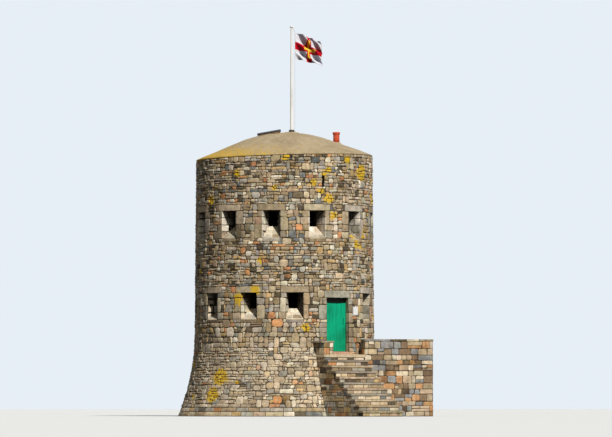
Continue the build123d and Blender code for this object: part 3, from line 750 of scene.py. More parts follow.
def stone_piece(name, lots, mend=None):
    """One piece from several lots of laid stones, with a tint and a share of lichen at each point."""
    faces = []
    start = 0
    for lot_points, lot_faces, _ in lots:
        faces.extend(tuple(index + start for index in face) for face in lot_faces)
        start += len(lot_points)
    points = np.concatenate([lot[0] for lot in lots])
    colours = np.concatenate([lot[2] for lot in lots])
    if mend is not None:
        points = mend(points)
    piece = new_piece(name, points.tolist(), [], faces)
    tint = piece.data.color_attributes.new("tint", "FLOAT_COLOR", "POINT")
    tint.data.foreach_set("color", np.concatenate([colours, np.ones((len(colours), 1))], axis=1).ravel())
    lichen = piece.data.attributes.new("lichen", "FLOAT", "POINT")
    lichen.data.foreach_set("value", lichen_at(points))
    piece.data.materials.append(RUBBLE)
    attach(piece, "tower")
    print(name, "triangles", sum(len(face) - 2 for face in faces))
    return piece


# %% [markdown]
# Rubble is brought to courses: beds that run round the tower at uneven heights and wander a little, but
# are true at sills, lintels and jambs. A brick texture can't turn round openings or lean to the wall head,
# so the courses are worked out as levels, and the beds between them as waves on those levels.

# %% Courses of the tower
COURSE = 0.102
TALL_COURSE = 0.163
ROUNDING = 1e-6
LOWER_ROWS = [LOWER_SILL, LOWER_SILL + 0.24, LOWER_SILL + 0.49, DOOR_HEAD, LOWER_HEAD]


def upper_rows(top_share):
    """Levels of the blocks beside an upper loophole, up to a share of its height."""
    return [UPPER_SILL + (UPPER_HEAD - UPPER_SILL) * share for share in (0, 0.26, 0.5, 0.76, top_share)]


def divided(low, high, size):
    """Uneven levels that divide a height, without its lowest."""
    count = max(1, round((high - low) / size))
    steps = rng.uniform(0.70, 1.35, count)
    return [float(level) for level in low + np.cumsum(steps) * (high - low) / steps.sum()]


levels = [FOOT_TOP]
levels += divided(FOOT_TOP, ENTRANCE_LEVEL, COURSE)
levels += divided(ENTRANCE_LEVEL, LOWER_SILL_FOOT, TALL_COURSE)
levels += LOWER_ROWS + [DOOR_LINTEL_TOP, LOWER_LINTEL_TOP]
levels += divided(LOWER_LINTEL_TOP, UPPER_SILL_FOOT, COURSE)
levels += upper_rows(1.0) + [UPPER_LINTEL_TOP]
for low, high in zip((UPPER_LINTEL_TOP, *SLIT_LEVELS), (*SLIT_LEVELS, WALL_HEAD)):
    levels += divided(low, high, COURSE)
print("courses", len(levels) - 1)

# %% [markdown]
# Loopholes, lintels, the door, its threshold and the slit interrupt the courses. Holes cut in a finished
# wall would slice stones in half, as no mason does. So each course is told where to stop and start again.

# %% Openings in the courses
MOUTH = 0.60
THROAT = 0.30
THROAT_DEPTH = 0.50
LOWER_AZIMUTHS = [30.0 * k for k in range(1, 12)]
UPPER_AZIMUTHS = [15.0 + 30.0 * k for k in range(12)]
DOOR_WIDTH = 0.93
LINTEL_LENGTH = 0.98
DOOR_LINTEL_LENGTH = 1.13
THRESHOLD_LENGTH = 1.10
SLIT_AZIMUTH = -10.9
SLIT_WIDTH = 0.08
# What interrupts the courses: lowest and highest level, azimuths and width
BREAKS = [
    (LOWER_SILL_FOOT, LOWER_HEAD, LOWER_AZIMUTHS, MOUTH),
    (LOWER_HEAD, LOWER_LINTEL_TOP, LOWER_AZIMUTHS, LINTEL_LENGTH),
    (UPPER_SILL_FOOT, UPPER_HEAD, UPPER_AZIMUTHS, MOUTH),
    (UPPER_HEAD, UPPER_LINTEL_TOP, UPPER_AZIMUTHS, LINTEL_LENGTH),
    (ENTRANCE_LEVEL, DOOR_HEAD, [0.0], DOOR_WIDTH),
    (DOOR_HEAD, DOOR_LINTEL_TOP, [0.0], DOOR_LINTEL_LENGTH),
    (LANDING_TOP - 0.1, ENTRANCE_LEVEL, [0.0], THRESHOLD_LENGTH),
    (*SLIT_LEVELS, [SLIT_AZIMUTH], SLIT_WIDTH),
]


def arc(azimuth):
    """Arc length from the door at the shaft's face."""
    return math.radians(azimuth) * WALL_RADIUS


def openings_in(low, high):
    """Busy stretches of a course, taken up by openings and long stones, in arc length."""
    middle = (low + high) / 2
    return [
        (arc(azimuth) - width / 2, arc(azimuth) + width / 2)
        for start, end, azimuths, width in BREAKS if start < middle < end
        for azimuth in azimuths
    ]


print("openings in a course of loopholes", len(openings_in(LOWER_SILL, LOWER_HEAD)))

# %% [markdown]
# A course is a ring. Its lengths are measured from the door both ways, so an opening at the back can be met
# from either end. Each busy stretch is therefore also kept one lap to the left and one to the right.

# %% Free and busy stretches


def lapped(stretches):
    """Stretches with their copies one lap on each side."""
    return [(a + lap, b + lap) for a, b in stretches for lap in (-GIRTH, 0.0, GIRTH)]


def clear_of(stretch, busy):
    """True where a stretch laps over no busy one by more than 2 cm."""
    return all(stretch[1] <= low + 0.02 or stretch[0] >= high - 0.02 for low, high in busy)


def free_stretches(start, end, busy):
    """What is left of a stretch between busy ones."""
    left = []
    place = start
    for low, high in sorted(busy):
        if low > place + 0.01:
            left.append((place, min(low, end)))
        place = max(place, high)
        if place >= end:
            break
    if place < end - 0.01:
        left.append((place, end))
    return left


print("around one opening", free_stretches(0.0, 3.0, [(1.0, 1.6)]))

# %% [markdown]
# A bed joint wanders by a centimetre or two, but a sill or a lintel needs it level. A random step at each
# stone would not fit the stones above to those below. So each bed is one line round the tower: three waves
# with whole numbers of turns, which close on themselves and fade out near every opening.

# %% Beds between the courses
BED_WAVE = 0.010
WAVES_ROUND = (17, 43, 89)
CALM_REACH = 0.3

bed_phases = rng.uniform(0, 2 * math.pi, (len(levels), len(WAVES_ROUND)))
course_breaks = [openings_in(low, high) for low, high in zip(levels[:-1], levels[1:])]
bed_breaks = [below + above for below, above in zip([[], *course_breaks], [*course_breaks, []])]


def bed_level(u, index):
    """Level of a bed joint at a place: it wanders, but not near an opening."""
    if index in (0, len(levels) - 1):
        return levels[index]
    turns = zip(WAVES_ROUND, bed_phases[index])
    wave = sum(BED_WAVE * math.sin(2 * math.pi * laps * u / GIRTH + phase) for laps, phase in turns)
    gap = min((max(a - u, u - b, 0.0) for a, b in lapped(bed_breaks[index])), default=GIRTH)
    return levels[index] + wave * min(1.0, gap / CALM_REACH)


def slot_corners(cuts, index, top, slant=(0.0, 0.0)):
    """Corners of a slot between two upright joints and two beds."""
    left, right = cuts
    foot = [(left - slant[0], bed_level(left, index)), (right - slant[1], bed_level(right, index))]
    head = [(right + slant[1], bed_level(right, top)), (left + slant[0], bed_level(left, top))]
    return foot + head


def split_slot(corners):
    """Two thin stones, one on the other, in one slot."""
    share = rng.uniform(0.38, 0.62)
    a, b, c, d = [np.array(corner) for corner in corners]
    left = a + (d - a) * share
    right = b + (c - b) * share
    return [[a, b, right, left], [left, right, c, d]]


print("a bed by the door", round(bed_level(0.0, 1), 3), "and behind", round(bed_level(GIRTH / 2, 1), 3))

# %% [markdown]
# Squared blocks frame each opening, one to three courses high. If the rubble came first, they would have
# to be cut into it, so they are set first, as masons do, and what they take is noted course by course.

# %% Blocks beside the openings
BLOCK_LENGTHS = (0.15, 0.38)
BLOCK_SLANT = 0.012
# How many courses a block is high, and how often
BLOCK_COURSES = {1: 0.55, 2: 0.42, 3: 0.03}


def rows_between(low, high):
    """Numbers of the courses that start between two levels."""
    return [row for row, level in enumerate(levels) if low - ROUNDING <= level < high - ROUNDING]


def side_blocks(azimuth, half, side, rows, taken):
    """Squared blocks up one side of an opening, each from one to three courses high."""
    blocks = []
    edge = arc(azimuth) + side * half
    while rows:
        drawn = rng.choice(list(BLOCK_COURSES), p=list(BLOCK_COURSES.values()))
        tall = min(len(rows), int(drawn))
        length = rng.uniform(*BLOCK_LENGTHS)
        block = (edge - length, edge) if side < 0 else (edge, edge + length)
        slant = float(rng.normal(0, BLOCK_SLANT))
        slants = (slant, 0.0) if side < 0 else (0.0, slant)
        if all(clear_of(block, taken[row]) for row in rows[:tall]):
            blocks.append((slot_corners(block, rows[0], rows[0] + tall, slants), levels[rows[0]]))
            for row in rows[:tall]:
                taken[row] += lapped([block])
        rows = rows[tall:]
    return blocks


print("courses beside the door", len(rows_between(ENTRANCE_LEVEL, DOOR_HEAD)))

# %% [markdown]
# The rest of each course is filled with stones of very uneven lengths. Most are one course high, some
# bridge two, and some tall slots take two thin stones, because equal heights would read as brickwork.

# %% Stones along a course
STONE_LENGTH = 0.170
LENGTH_SPREAD = 0.48
JOINT_SLANT = 0.018
TALL_LENGTHS = (0.13, 0.45)
TALL_SHARE = 0.20
TALLEST_COURSE = 0.2
# A slot no higher than the first is never split, and one higher than the second is split often
SPLIT_FROM, SPLIT_OFTEN_FROM = 0.12, 0.19
SPLIT_SELDOM, SPLIT_OFTEN = 0.14, 0.62


def can_be_tall(pair, index, taken):
    """True where a stone may rise through the course above; most that may don't."""
    return (
        TALL_LENGTHS[0] < pair[1] - pair[0] < TALL_LENGTHS[1] and index + 2 < len(levels)
        and rng.random() < TALL_SHARE and clear_of(pair, lapped(course_breaks[index + 1]))
        and clear_of(pair, taken[index + 1]) and levels[index + 1] - levels[index] < TALLEST_COURSE
    )


def fill_stretch(start, end, index, taken):
    """Rubble slots along one free stretch of a course."""
    slots = []
    low, high = levels[index], levels[index + 1]
    count = max(1, round((end - start) / STONE_LENGTH))
    parts = rng.lognormal(0, LENGTH_SPREAD, count)
    cuts = start + np.concatenate([[0], np.cumsum(parts)]) * (end - start) / parts.sum()
    slants = rng.normal(0, JOINT_SLANT, count + 1)
    slants[0] = slants[-1] = 0
    for number in range(count):
        pair = (float(cuts[number]), float(cuts[number + 1]))
        if can_be_tall(pair, index, taken):
            taken[index + 1] += lapped([pair])
            slants[number] = slants[number + 1] = 0
            slots.append((slot_corners(pair, index, index + 2), low))
            continue
        corners = slot_corners(pair, index, index + 1, (slants[number], slants[number + 1]))
        share = SPLIT_OFTEN if high - low > SPLIT_OFTEN_FROM else SPLIT_SELDOM
        split = rng.random() < share and high - low > SPLIT_FROM
        halves = split_slot(corners) if split else [corners]
        slots += [(half, low) for half in halves]
    return slots


print("stones to a full course, about", round(GIRTH / STONE_LENGTH))

# %% [markdown]
# Openings come first and rubble last, as on the scaffold. If every course began at the same place, upright
# joints would meet there in one long crack, so each begins at a place of its own behind the tower.

# %% Setting out the face


def lay_out_tower():
    """Slots of the whole face: rubble and squared blocks, each with the level that it starts from."""
    rubble, squared = [], []
    taken = [[] for _ in levels]
    sides = [(azimuth, MOUTH / 2, LOWER_SILL, LOWER_HEAD) for azimuth in LOWER_AZIMUTHS]
    sides += [(azimuth, MOUTH / 2, UPPER_SILL, UPPER_HEAD) for azimuth in UPPER_AZIMUTHS]
    sides.append((0.0, DOOR_WIDTH / 2, ENTRANCE_LEVEL, DOOR_HEAD))
    for azimuth, half, low, high in sides:
        for side in (-1, 1):
            squared += side_blocks(azimuth, half, side, rows_between(low, high), taken)
    for index, breaks in enumerate(course_breaks):
        begin = -GIRTH / 2 + rng.uniform(-0.5, 0.5)
        for start, end in free_stretches(begin, begin + GIRTH, lapped(breaks) + taken[index]):
            rubble += fill_stretch(start, end, index, taken)
    return rubble, squared


rubble_slots, squared_slots = lay_out_tower()
print("rubble stones", len(rubble_slots), "squared blocks", len(squared_slots))

# %% [markdown]
# The stair and the wing wall are built against the tower, and nobody sees what lies behind them. Stones
# that would lie wholly inside are left out, and so that no mesh grows too large, the rest makes one piece
# for each storey.

# %% Stones hidden by the stair and the wing wall
STAIR_LEFT, STAIR_RIGHT = (corner.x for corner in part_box("stair_body"))
STAIR_TOP = levels_of("stair_body")[1]
WING_CORNER = np.array([0.85, -3.45])
WING_SKEW = math.radians(-21.9)
WING_ALONG = np.array([math.cos(WING_SKEW), math.sin(WING_SKEW)])
WING_ACROSS = np.array([-math.sin(WING_SKEW), math.cos(WING_SKEW)])
WING_LENGTH = 2.43
WING_THICKNESS = 0.45
WING_TOP = levels_of("wing_coping")[1]
COVER = 0.04


def buried(slots):
    """True for each slot whose corners all lie behind the stair or the wing wall."""
    corners = np.asarray([corner for corner, _ in slots], float)
    points = on_tower(corners[..., 0], corners[..., 1], np.zeros(corners.shape[:2]))
    x, y, level = points[..., 0], points[..., 1], points[..., 2]
    stair = (y < 0) & (x > STAIR_LEFT + COVER) & (x < STAIR_RIGHT - COVER) & (level < STAIR_TOP)
    offset = points[..., :2] - WING_CORNER
    along, across = offset @ WING_ALONG, offset @ WING_ACROSS
    wing = (along > COVER) & (across > COVER) & (across < WING_THICKNESS - COVER)
    return (stair | (wing & (level < WING_TOP - 0.1))).all(axis=1)


def slots_between(slots, low, high):
    """Corners of the slots that start between two levels and can be seen."""
    return [
        corners for (corners, level), hidden in zip(slots, buried(slots))
        if low - ROUNDING <= level < high - ROUNDING and not hidden
    ]


print("hidden stones", int(buried(rubble_slots).sum()))

# %% [markdown]
# Low down, lime from old repairs is smeared over the stones, and one narrow run of lime shows right of the
# slit. Both could be a texture, but lime sticks to whole stones, so their tints are changed. The
# small plate by the door hangs flat, so the stones behind it are kept back.

# %% Lime and the plate
LIME = np.array(linear(206, 188, 160))
WHITE_LIME = np.array(linear(250, 240, 226))
LIME_TOP, LIME_FADE = 3.3, 1.1
MOST_LIME = 0.72
LIME_PATCHES = 1.7
# The run of lime: azimuth, half its width, lowest and highest level
LIME_RUN = (20.6, 0.055, 7.74, 8.10)
PLATE_AZIMUTH = 15.1
PLATE_WIDTH = 0.25


def aside_of(points, azimuth):
    """Distance of points from an azimuth, along the shaft's face."""
    return np.abs(np.arctan2(points[:, 0], -points[:, 1]) * WALL_RADIUS - arc(azimuth))


def limed(lot):
    """Lightens patches of stones low down, and one run high up."""
    points, faces, colours = lot
    azimuth, half, low, high = LIME_RUN
    colours[(aside_of(points, azimuth) < half) & (points[:, 2] > low) & (points[:, 2] < high)] = WHITE_LIME
    each = len(ROUGH_MASTERS[0][0])
    for first in range(0, len(points), each):
        middle = Vector(points[first:first + each].mean(axis=0))
        patch = min(1.0, max(0.0, 0.45 + 1.3 * noise_field.noise(middle * LIME_PATCHES)))
        share = MOST_LIME * patch * min(1.0, max(0.0, (LIME_TOP - middle.z) / LIME_FADE))
        colours[first:first + each] += share * (LIME - colours[first:first + each])
    return points, faces, colours


def flat_behind_plate(points):
    """Keeps the stones behind the plate lower than its back face."""
    behind = aside_of(points, PLATE_AZIMUTH) < PLATE_WIDTH / 2 + 0.01
    behind &= (points[:, 2] > PLATE_LEVELS[0] - 0.02) & (points[:, 2] < PLATE_LEVELS[1] + 0.02)
    radius = np.hypot(points[:, 0], points[:, 1])
    points[:, :2] *= np.where(behind & (radius > WALL_RADIUS), WALL_RADIUS / radius, 1.0)[:, None]
    return points


print("the plate hangs from", round(PLATE_LEVELS[0], 2), "to", round(PLATE_LEVELS[1], 2), "m")

# %% [markdown]
# Now the face is laid, storey by storey, so that no mesh grows too large. Rubble stands out further and
# less evenly than the squared blocks, which a mason dresses to a line.

# %% Stones of the four storeys
PROUD = (0.010, 0.036)
SQUARED_PROUD = (0.016, 0.028)
STOREYS = {
    "base_stones": (FOOT_TOP, ENTRANCE_LEVEL), "entrance_stones": (ENTRANCE_LEVEL, LOWER_LINTEL_TOP),
    "middle_stones": (LOWER_LINTEL_TOP, UPPER_LINTEL_TOP), "top_stones": (UPPER_LINTEL_TOP, WALL_HEAD),
}
for name, (low, high) in STOREYS.items():
    rough = lay(slots_between(rubble_slots, low, high), ROUGH_MASTERS, on_tower, PROUD, TINTS, 0.006)
    lots = [limed(rough)]
    squares = slots_between(squared_slots, low, high)
    if squares:
        lots.append(lay(squares, BLUNT_MASTERS, on_tower, SQUARED_PROUD, DRESSED_TINTS, 0.004))
    stone_piece(name, lots, mend=flat_behind_plate)

# %% [markdown]
# Over each opening lies a lintel and under it a sill, each one long worked stone that follows the curve of
# the wall. A straight box would stand out at its ends, and a curve modifier would need one guide for each.
# So a slab is modelled once, cut across in short lengths, and its points are placed on the wall's face.

# %% Slabs
EDGE_SEGMENTS = 2
SLAB_ROUND = 0.012
SLAB_ROUGH = 0.0025


def rounded_box(size, round_off, place=(0, 0, 0)):
    """A box of a given size and place with rounded edges, left in edit mode."""
    deselect()
    bpy.ops.mesh.primitive_cube_add(size=1.0, location=place)
    box = bpy.context.object
    box.scale = size
    bpy.ops.object.transform_apply(location=False, rotation=False, scale=True)
    bpy.ops.object.mode_set(mode="EDIT")
    bpy.ops.mesh.select_all(action="SELECT")
    bpy.ops.mesh.bevel(offset=round_off, segments=EDGE_SEGMENTS, affect="EDGES")
    return box


def slab_shape(size, cuts, round_off):
    """Points and faces of a slab about the origin, cut across its length and rounded."""
    slab = rounded_box(size, round_off)
    for cut in range(1, cuts):
        bpy.ops.mesh.select_all(action="SELECT")
        bpy.ops.mesh.bisect(plane_co=(-size[0] / 2 + size[0] * cut / cuts, 0, 0), plane_no=(1, 0, 0))
    bpy.ops.object.mode_set(mode="OBJECT")
    return points_and_faces(slab)


def tinted(points, faces, tints):
    """One lot for stone_piece, in a single tint."""
    return points, faces, np.repeat(pick_tints(1, tints), len(points), axis=0)


def roughened(points, amount):
    """Moves each point a little at random."""
    return points + rng.normal(0, amount, points.shape)


print("segments on a rounded edge", EDGE_SEGMENTS)

# %% [markdown]
# A lintel reaches past its opening on both sides, to rest on the blocks there, while a sill is only as wide
# as the mouth. A copy of one slab everywhere would show, so each is roughened anew before it is placed.

# %% Lintels and sills
LINTEL_PROUD = 0.022
SILL_PROUD = 0.016
SILL_GAP = 0.004


def long_stones(azimuths, length, low, high, proud, tints):
    """A long block over or under each opening, bent to the wall, as one lot for each."""
    size = (length - 2 * JOINT, high - low - 2 * JOINT, BED_DEPTH + proud)
    points, faces = slab_shape(size, 8, SLAB_ROUND)
    lots = []
    for azimuth in azimuths:
        rough = roughened(points, SLAB_ROUGH)
        u, v = rough[:, 0] + arc(azimuth), rough[:, 1] + (low + high) / 2
        lots.append(tinted(on_tower(u, v, rough[:, 2] + (proud - BED_DEPTH) / 2), faces, tints))
    return lots


lintels, sills = [], []
for row in (
    (LOWER_AZIMUTHS, LINTEL_LENGTH, LOWER_HEAD, LOWER_LINTEL_TOP),
    (UPPER_AZIMUTHS, LINTEL_LENGTH, UPPER_HEAD, UPPER_LINTEL_TOP),
    ([0.0], DOOR_LINTEL_LENGTH, DOOR_HEAD, DOOR_LINTEL_TOP),
):
    lintels += long_stones(*row, LINTEL_PROUD, LINTEL_TINTS)
for row in (
    (LOWER_AZIMUTHS, MOUTH, LOWER_SILL_FOOT, LOWER_SILL - SILL_GAP),
    (UPPER_AZIMUTHS, MOUTH, UPPER_SILL_FOOT, UPPER_SILL - SILL_GAP),
):
    sills += long_stones(*row, SILL_PROUD, DRESSED_TINTS)
stone_piece("lintel_faces", lintels)
stone_piece("sill_faces", sills)

# %% [markdown]
# A loophole narrows from its mouth to a throat between two splayed jambs of limewashed blocks. Light alone
# leaves the splays too even: in the photograph the sunny jamb is white, the other is dark, and the inner
# upper part is black. So shade is painted into the tints of the blocks: the jamb turned from the sun is
# darkened nearly to black, and so are the inner upper part, where the lintel's shadow falls, and the foot
# of the splays right of the door.

# %% Shades inside a splay
SHADY = 0.05
PAINTED_LINTEL_SHADOW = 0.88
PAINTED_FOOT_SHADE = 0.65


def right_of_door(azimuth):
    """True for the openings on the quarter to the right of the door, whose splays and sills take extra
    painted shade.
    """
    return 0 < azimuth % 360 < 90


def painted_sun_side_shade(lot, normal):
    """A lot of stones in a splay, with painted shade: pale on the side that faces the sun, nearly black on
    the other.
    """
    points, faces, colours = lot
    # Painted shade: the side of the splay that faces away from the sun is darkened nearly to black.
    exposure = normal[0] * math.sin(SUN_AZIMUTH) - normal[1] * math.cos(SUN_AZIMUTH)
    share = min(1.0, max(0.0, (exposure - 0.03) / 0.25))
    return points, faces, colours * (SHADY + (1 - SHADY) * share)


def with_painted_lintel_shadow(lot, azimuth, low, high):
    """Paints shadow into a splay: darkens its inner upper part, where the lintel's shadow falls, and paints
    shade at the foot of those on the right of the door.
    """
    points, faces, colours = lot
    angle = math.radians(azimuth)
    out = points[:, 0] * math.sin(angle) - points[:, 1] * math.cos(angle)
    depth = np.clip((WALL_RADIUS - out) / THROAT_DEPTH, 0, 1)
    height = (points[:, 2] - low) / (high - low)
    # Painted shadow: the inner upper part of the splay, where the lintel's shadow falls, is darkened.
    painted_shade = PAINTED_LINTEL_SHADOW * np.clip((height + 0.65 * depth - 0.85) / 0.3, 0, 1)
    # Painted shade at the foot of the splays on the right of the door.
    if right_of_door(azimuth):
        painted_shade = np.maximum(painted_shade, PAINTED_FOOT_SHADE * np.clip((0.60 - height) / 0.08, 0, 1))
    return points, faces, colours * (1 - painted_shade)[:, None]


# These openings take extra painted shade at the foot of their splays and on their sloping sills.
worn = [azimuth for azimuth in LOWER_AZIMUTHS + UPPER_AZIMUTHS if right_of_door(azimuth)]
print("openings with the most worn wash", len(worn))

# %% [markdown]
# A jamb of a loophole is a narrow upright face, slanting in plan from the mouth to the throat. It could be
# one block as high as the opening, but real jambs are built up with the wall. So its rows are the courses
# beside it, with two blocks to a row.

# %% Jambs of the loopholes
JAMB_PROUD = (0.006, 0.012)
HEAD_GAP = 0.002
ALIKE = 0.4


def plain_slot(left, right, low, high):
    """A slot with upright sides and level beds."""
    return [(left, low), (right, low), (right, high), (left, high)]


def jamb_slots(rows, reach):
    """Blocks up one jamb, two to a row, with u from 0 to its reach."""
    slots = []
    for low, high in zip(rows[:-1], rows[1:]):
        cut = reach * rng.uniform(0.4, 0.6)
        slots += [plain_slot(0, cut, low, high), plain_slot(cut, reach, low, high)]
    return slots


def rotated(pair, angle):
    """A plan vector turned by an azimuth."""
    cos, sin = math.cos(angle), math.sin(angle)
    return np.array([pair[0] * cos - pair[1] * sin, pair[0] * sin + pair[1] * cos])


def face_depth(half):
    """How far out the shaft's face is beside an opening of a given half width."""
    return math.sqrt(WALL_RADIUS**2 - half**2)


def splay_faces(azimuth):
    """The two splayed jambs of a loophole: where each starts, and its normal; and their reach."""
    slope = (MOUTH - THROAT) / 2 / THROAT_DEPTH
    mouth_y = -face_depth(MOUTH / 2)
    throat_y = -WALL_RADIUS + THROAT_DEPTH
    angle = math.radians(azimuth)
    faces = []
    for side in (-1, 1):
        normal = np.array([-side, -slope]) / math.hypot(1.0, slope)
        start = (side * THROAT / 2, throat_y) if side > 0 else (side * MOUTH / 2, mouth_y)
        faces.append((rotated(start, angle), rotated(normal, angle)))
    return faces, math.hypot(mouth_y - throat_y, (MOUTH - THROAT) / 2)


jambs = []
lower_rows = LOWER_ROWS[:-1] + [LOWER_HEAD - HEAD_GAP]
for azimuths, rows in ((LOWER_AZIMUTHS, lower_rows), (UPPER_AZIMUTHS, upper_rows(0.998))):
    for azimuth in azimuths:
        faces, reach = splay_faces(azimuth)
        for start, normal in faces:
            slots, place = jamb_slots(rows, reach), on_plane(start, normal)
            lot = lay(slots, SQUARE_MASTERS, place, JAMB_PROUD, LIMEWASH_TINTS, 0, ALIKE)
            # Both helpers paint shade into the tints of the jamb blocks.
            jambs.append(with_painted_lintel_shadow(painted_sun_side_shade(lot, normal), azimuth, rows[0], rows[-1]))
print("splayed jambs", len(jambs))

# %% [markdown]
# The door's jambs are plain square returns of the wall. A smooth cut would show no stones at all, so blocks
# are laid on them too, each two courses high, and with hardly any relief, so that the leaf swings clear.

# %% Jambs of the door
REVEAL_PROUD = (0.003, 0.006)
REVEAL_DEPTH = 0.2

door_rows = [level for level in levels if ENTRANCE_LEVEL - ROUNDING <= level <= DOOR_HEAD + ROUNDING][::2]
door_rows[-1] = DOOR_HEAD - HEAD_GAP
reveal_back = -WALL_RADIUS + REVEAL_DEPTH
reveal_front = -face_depth(DOOR_WIDTH / 2)
for side in (-1, 1):
    start = (side * DOOR_WIDTH / 2, reveal_back if side > 0 else reveal_front)
    rows = zip(door_rows[:-1], door_rows[1:])
    slots = [plain_slot(0, reveal_back - reveal_front, low, high) for low, high in rows]
    jambs.append(lay(slots, SQUARE_MASTERS, on_plane(start, (-side, 0.0)), REVEAL_PROUD, DRESSED_TINTS))
stone_piece("jamb_blocks", jambs)

# %% [markdown]
# Inside each mouth the sill slopes up to the throat, in three rows of limewashed slabs that grow narrower
# inwards. One plane with a texture would have no joints to catch the light, so six stones are laid on the
# slope. The rows are darkened from the foot up, as painted shade.

# %% Sloping sills
LOWER_THROAT_SILL = 3.68
UPPER_THROAT_SILL = 6.48
SLOPE_PROUD = (0.004, 0.010)
SIDE_GAP = 0.014
SLOPE_SHADES = (0.62, 0.62, 0.80, 0.80, 1.0, 1.0)
PAINTED_RIGHT_SHADE = 0.4


def slope_lot(azimuth, sill, throat_sill):
    """Rough slabs on the sloping sill of one loophole, each row narrower than the one below it."""
    angle = math.radians(azimuth)
    rise = throat_sill - sill
    length = math.hypot(THROAT_DEPTH, rise)
    up = (*rotated((0.0, THROAT_DEPTH / length), angle), rise / length)
    right = (*rotated((1.0, 0.0), angle), 0.0)
    place = on_face((*rotated((0.0, -WALL_RADIUS), angle), sill), right, up)
    shares = [0.04, rng.uniform(0.30, 0.42), rng.uniform(0.62, 0.74), 1.0]
    slots = []
    for low, high in zip(shares[:-1], shares[1:]):
        low_half, high_half = [(MOUTH - (MOUTH - THROAT) * share) / 2 - SIDE_GAP for share in (low, high)]
        cut = rng.uniform(-0.35, 0.35)
        v0, v1 = low * length, high * length
        slots.append([(-low_half, v0), (cut * low_half, v0), (cut * high_half, v1), (-high_half, v1)])
        slots.append([(cut * low_half, v0), (low_half, v0), (high_half, v1), (cut * high_half, v1)])
    points, faces, colours = lay(slots, SQUARE_MASTERS, place, SLOPE_PROUD, LIMEWASH_TINTS, 0, ALIKE)
    # Painted shade: the rows of slabs are darker from the foot up.
    shade = np.repeat(SLOPE_SHADES, len(points) // len(SLOPE_SHADES))
    # Painted shade: the sills on the right of the door are darker still.
    if right_of_door(azimuth):
        shade = shade * PAINTED_RIGHT_SHADE
    return points, faces, colours * shade[:, None]


slopes = [slope_lot(azimuth, LOWER_SILL, LOWER_THROAT_SILL) for azimuth in LOWER_AZIMUTHS]
slopes += [slope_lot(azimuth, UPPER_SILL, UPPER_THROAT_SILL) for azimuth in UPPER_AZIMUTHS]
stone_piece("sill_slabs", slopes)

# %% [markdown]
# The bed of the foot course, the roof, the plinth and the chimney pot are each the same all round an axis.
# They could be stacked from cylinders and cones, but one section that is spun about the axis gives every
# slope and hollow in one go. Whatever is made, one helper then names it and lets it ride on its body.

# %% Spinning a section


def collect(name, material, body="tower"):
    """Names the active object, puts its place into its mesh and lets it ride."""
    piece = bpy.context.object
    piece.name = name
    piece.data.name = name
    bpy.ops.object.transform_apply(location=True, rotation=True, scale=True)
    piece.data.materials.clear()
    piece.data.materials.append(material)
    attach(piece, body)
    print(name, "faces", len(piece.data.polygons))
    return piece


def spun(name, outline, steps, place=(0.0, 0.0, 0.0)):
    """A solid of revolution about an upright axis, from a closed or axis-to-axis outline of (r, z)."""
    corners = [(place[0] + r, place[1], place[2] + z) for r, z in outline]
    edges = [(k, k + 1) for k in range(len(corners) - 1)]
    if outline[0][0] > 0 or outline[-1][0] > 0:
        edges.append((len(corners) - 1, 0))
    piece = new_piece(name, corners, edges, [])
    bpy.ops.object.mode_set(mode="EDIT")
    bpy.ops.mesh.select_all(action="SELECT")
    bpy.ops.mesh.spin(steps=steps, angle=2 * math.pi, center=place, axis=(0, 0, 1))
    bpy.ops.mesh.select_all(action="SELECT")
    bpy.ops.mesh.remove_doubles(threshold=0.0004)
    bpy.ops.mesh.select_all(action="SELECT")
    bpy.ops.mesh.normals_make_consistent(inside=False)
    bpy.ops.object.mode_set(mode="OBJECT")
    return piece


# %% [markdown]
# The foot course is a ring of large blocks that stands just proud of the wall. The CAD ring is plain, and
# blocks laid over it would stand outside the part's own size. So it is replaced: a bed ring is spun from
# its section, and blocks on it reach just to the CAD model's face.

# %% Foot course
INNER_RADIUS = 1.70
FOOT_BED = 0.004
FOOT_ROW = 0.16
BLOCK_LENGTH = (0.26, 0.55)

foot_section = [
    (INNER_RADIUS, 0.0), (wall_radius(0.0) + FOOT_BED, 0.0),
    (wall_radius(FOOT_TOP) + FOOT_BED, FOOT_TOP), (INNER_RADIUS, FOOT_TOP),
]
spun("foot_bed", foot_section, 144)
foot_bed = collect("foot_bed", MORTAR)
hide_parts("foot_course")


def on_foot(u, v, w):
    """Points on the foot course; depth is measured from its bed."""
    return on_tower(u, v, w + FOOT_BED)


foot_cuts = []
for low, high in ((FLOOR_GAP, FOOT_ROW), (FOOT_ROW, FOOT_TOP)):
    start = 0.0
    while start < GIRTH - 0.2:
        length = min(rng.uniform(*BLOCK_LENGTH), GIRTH - start)
        foot_cuts.append((plain_slot(start, start + length, low, high), low))
        start += length
foot_slots = slots_between(foot_cuts, 0.0, FOOT_TOP)
stone_piece("foot_stones", [lay(foot_slots, SQUARE_MASTERS, on_foot, (0.012, 0.019), TINTS)])

# %% [markdown]
# Behind the stones the CAD solids stay in sight at every joint, so each is given the finish of what it
# stands for: mortar for the walls, worked stone for the landing, lime for the sills. Their meshes are left
# alone, because they are the packed part itself.

# %% Finishes of the CAD masonry


def dress(material, *names):
    """Gives CAD nodes a finish."""
    for name in names:
        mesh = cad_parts[name].data
        mesh.materials.clear()
        mesh.materials.append(material)
    print(material.name, "on", len(names), "nodes")


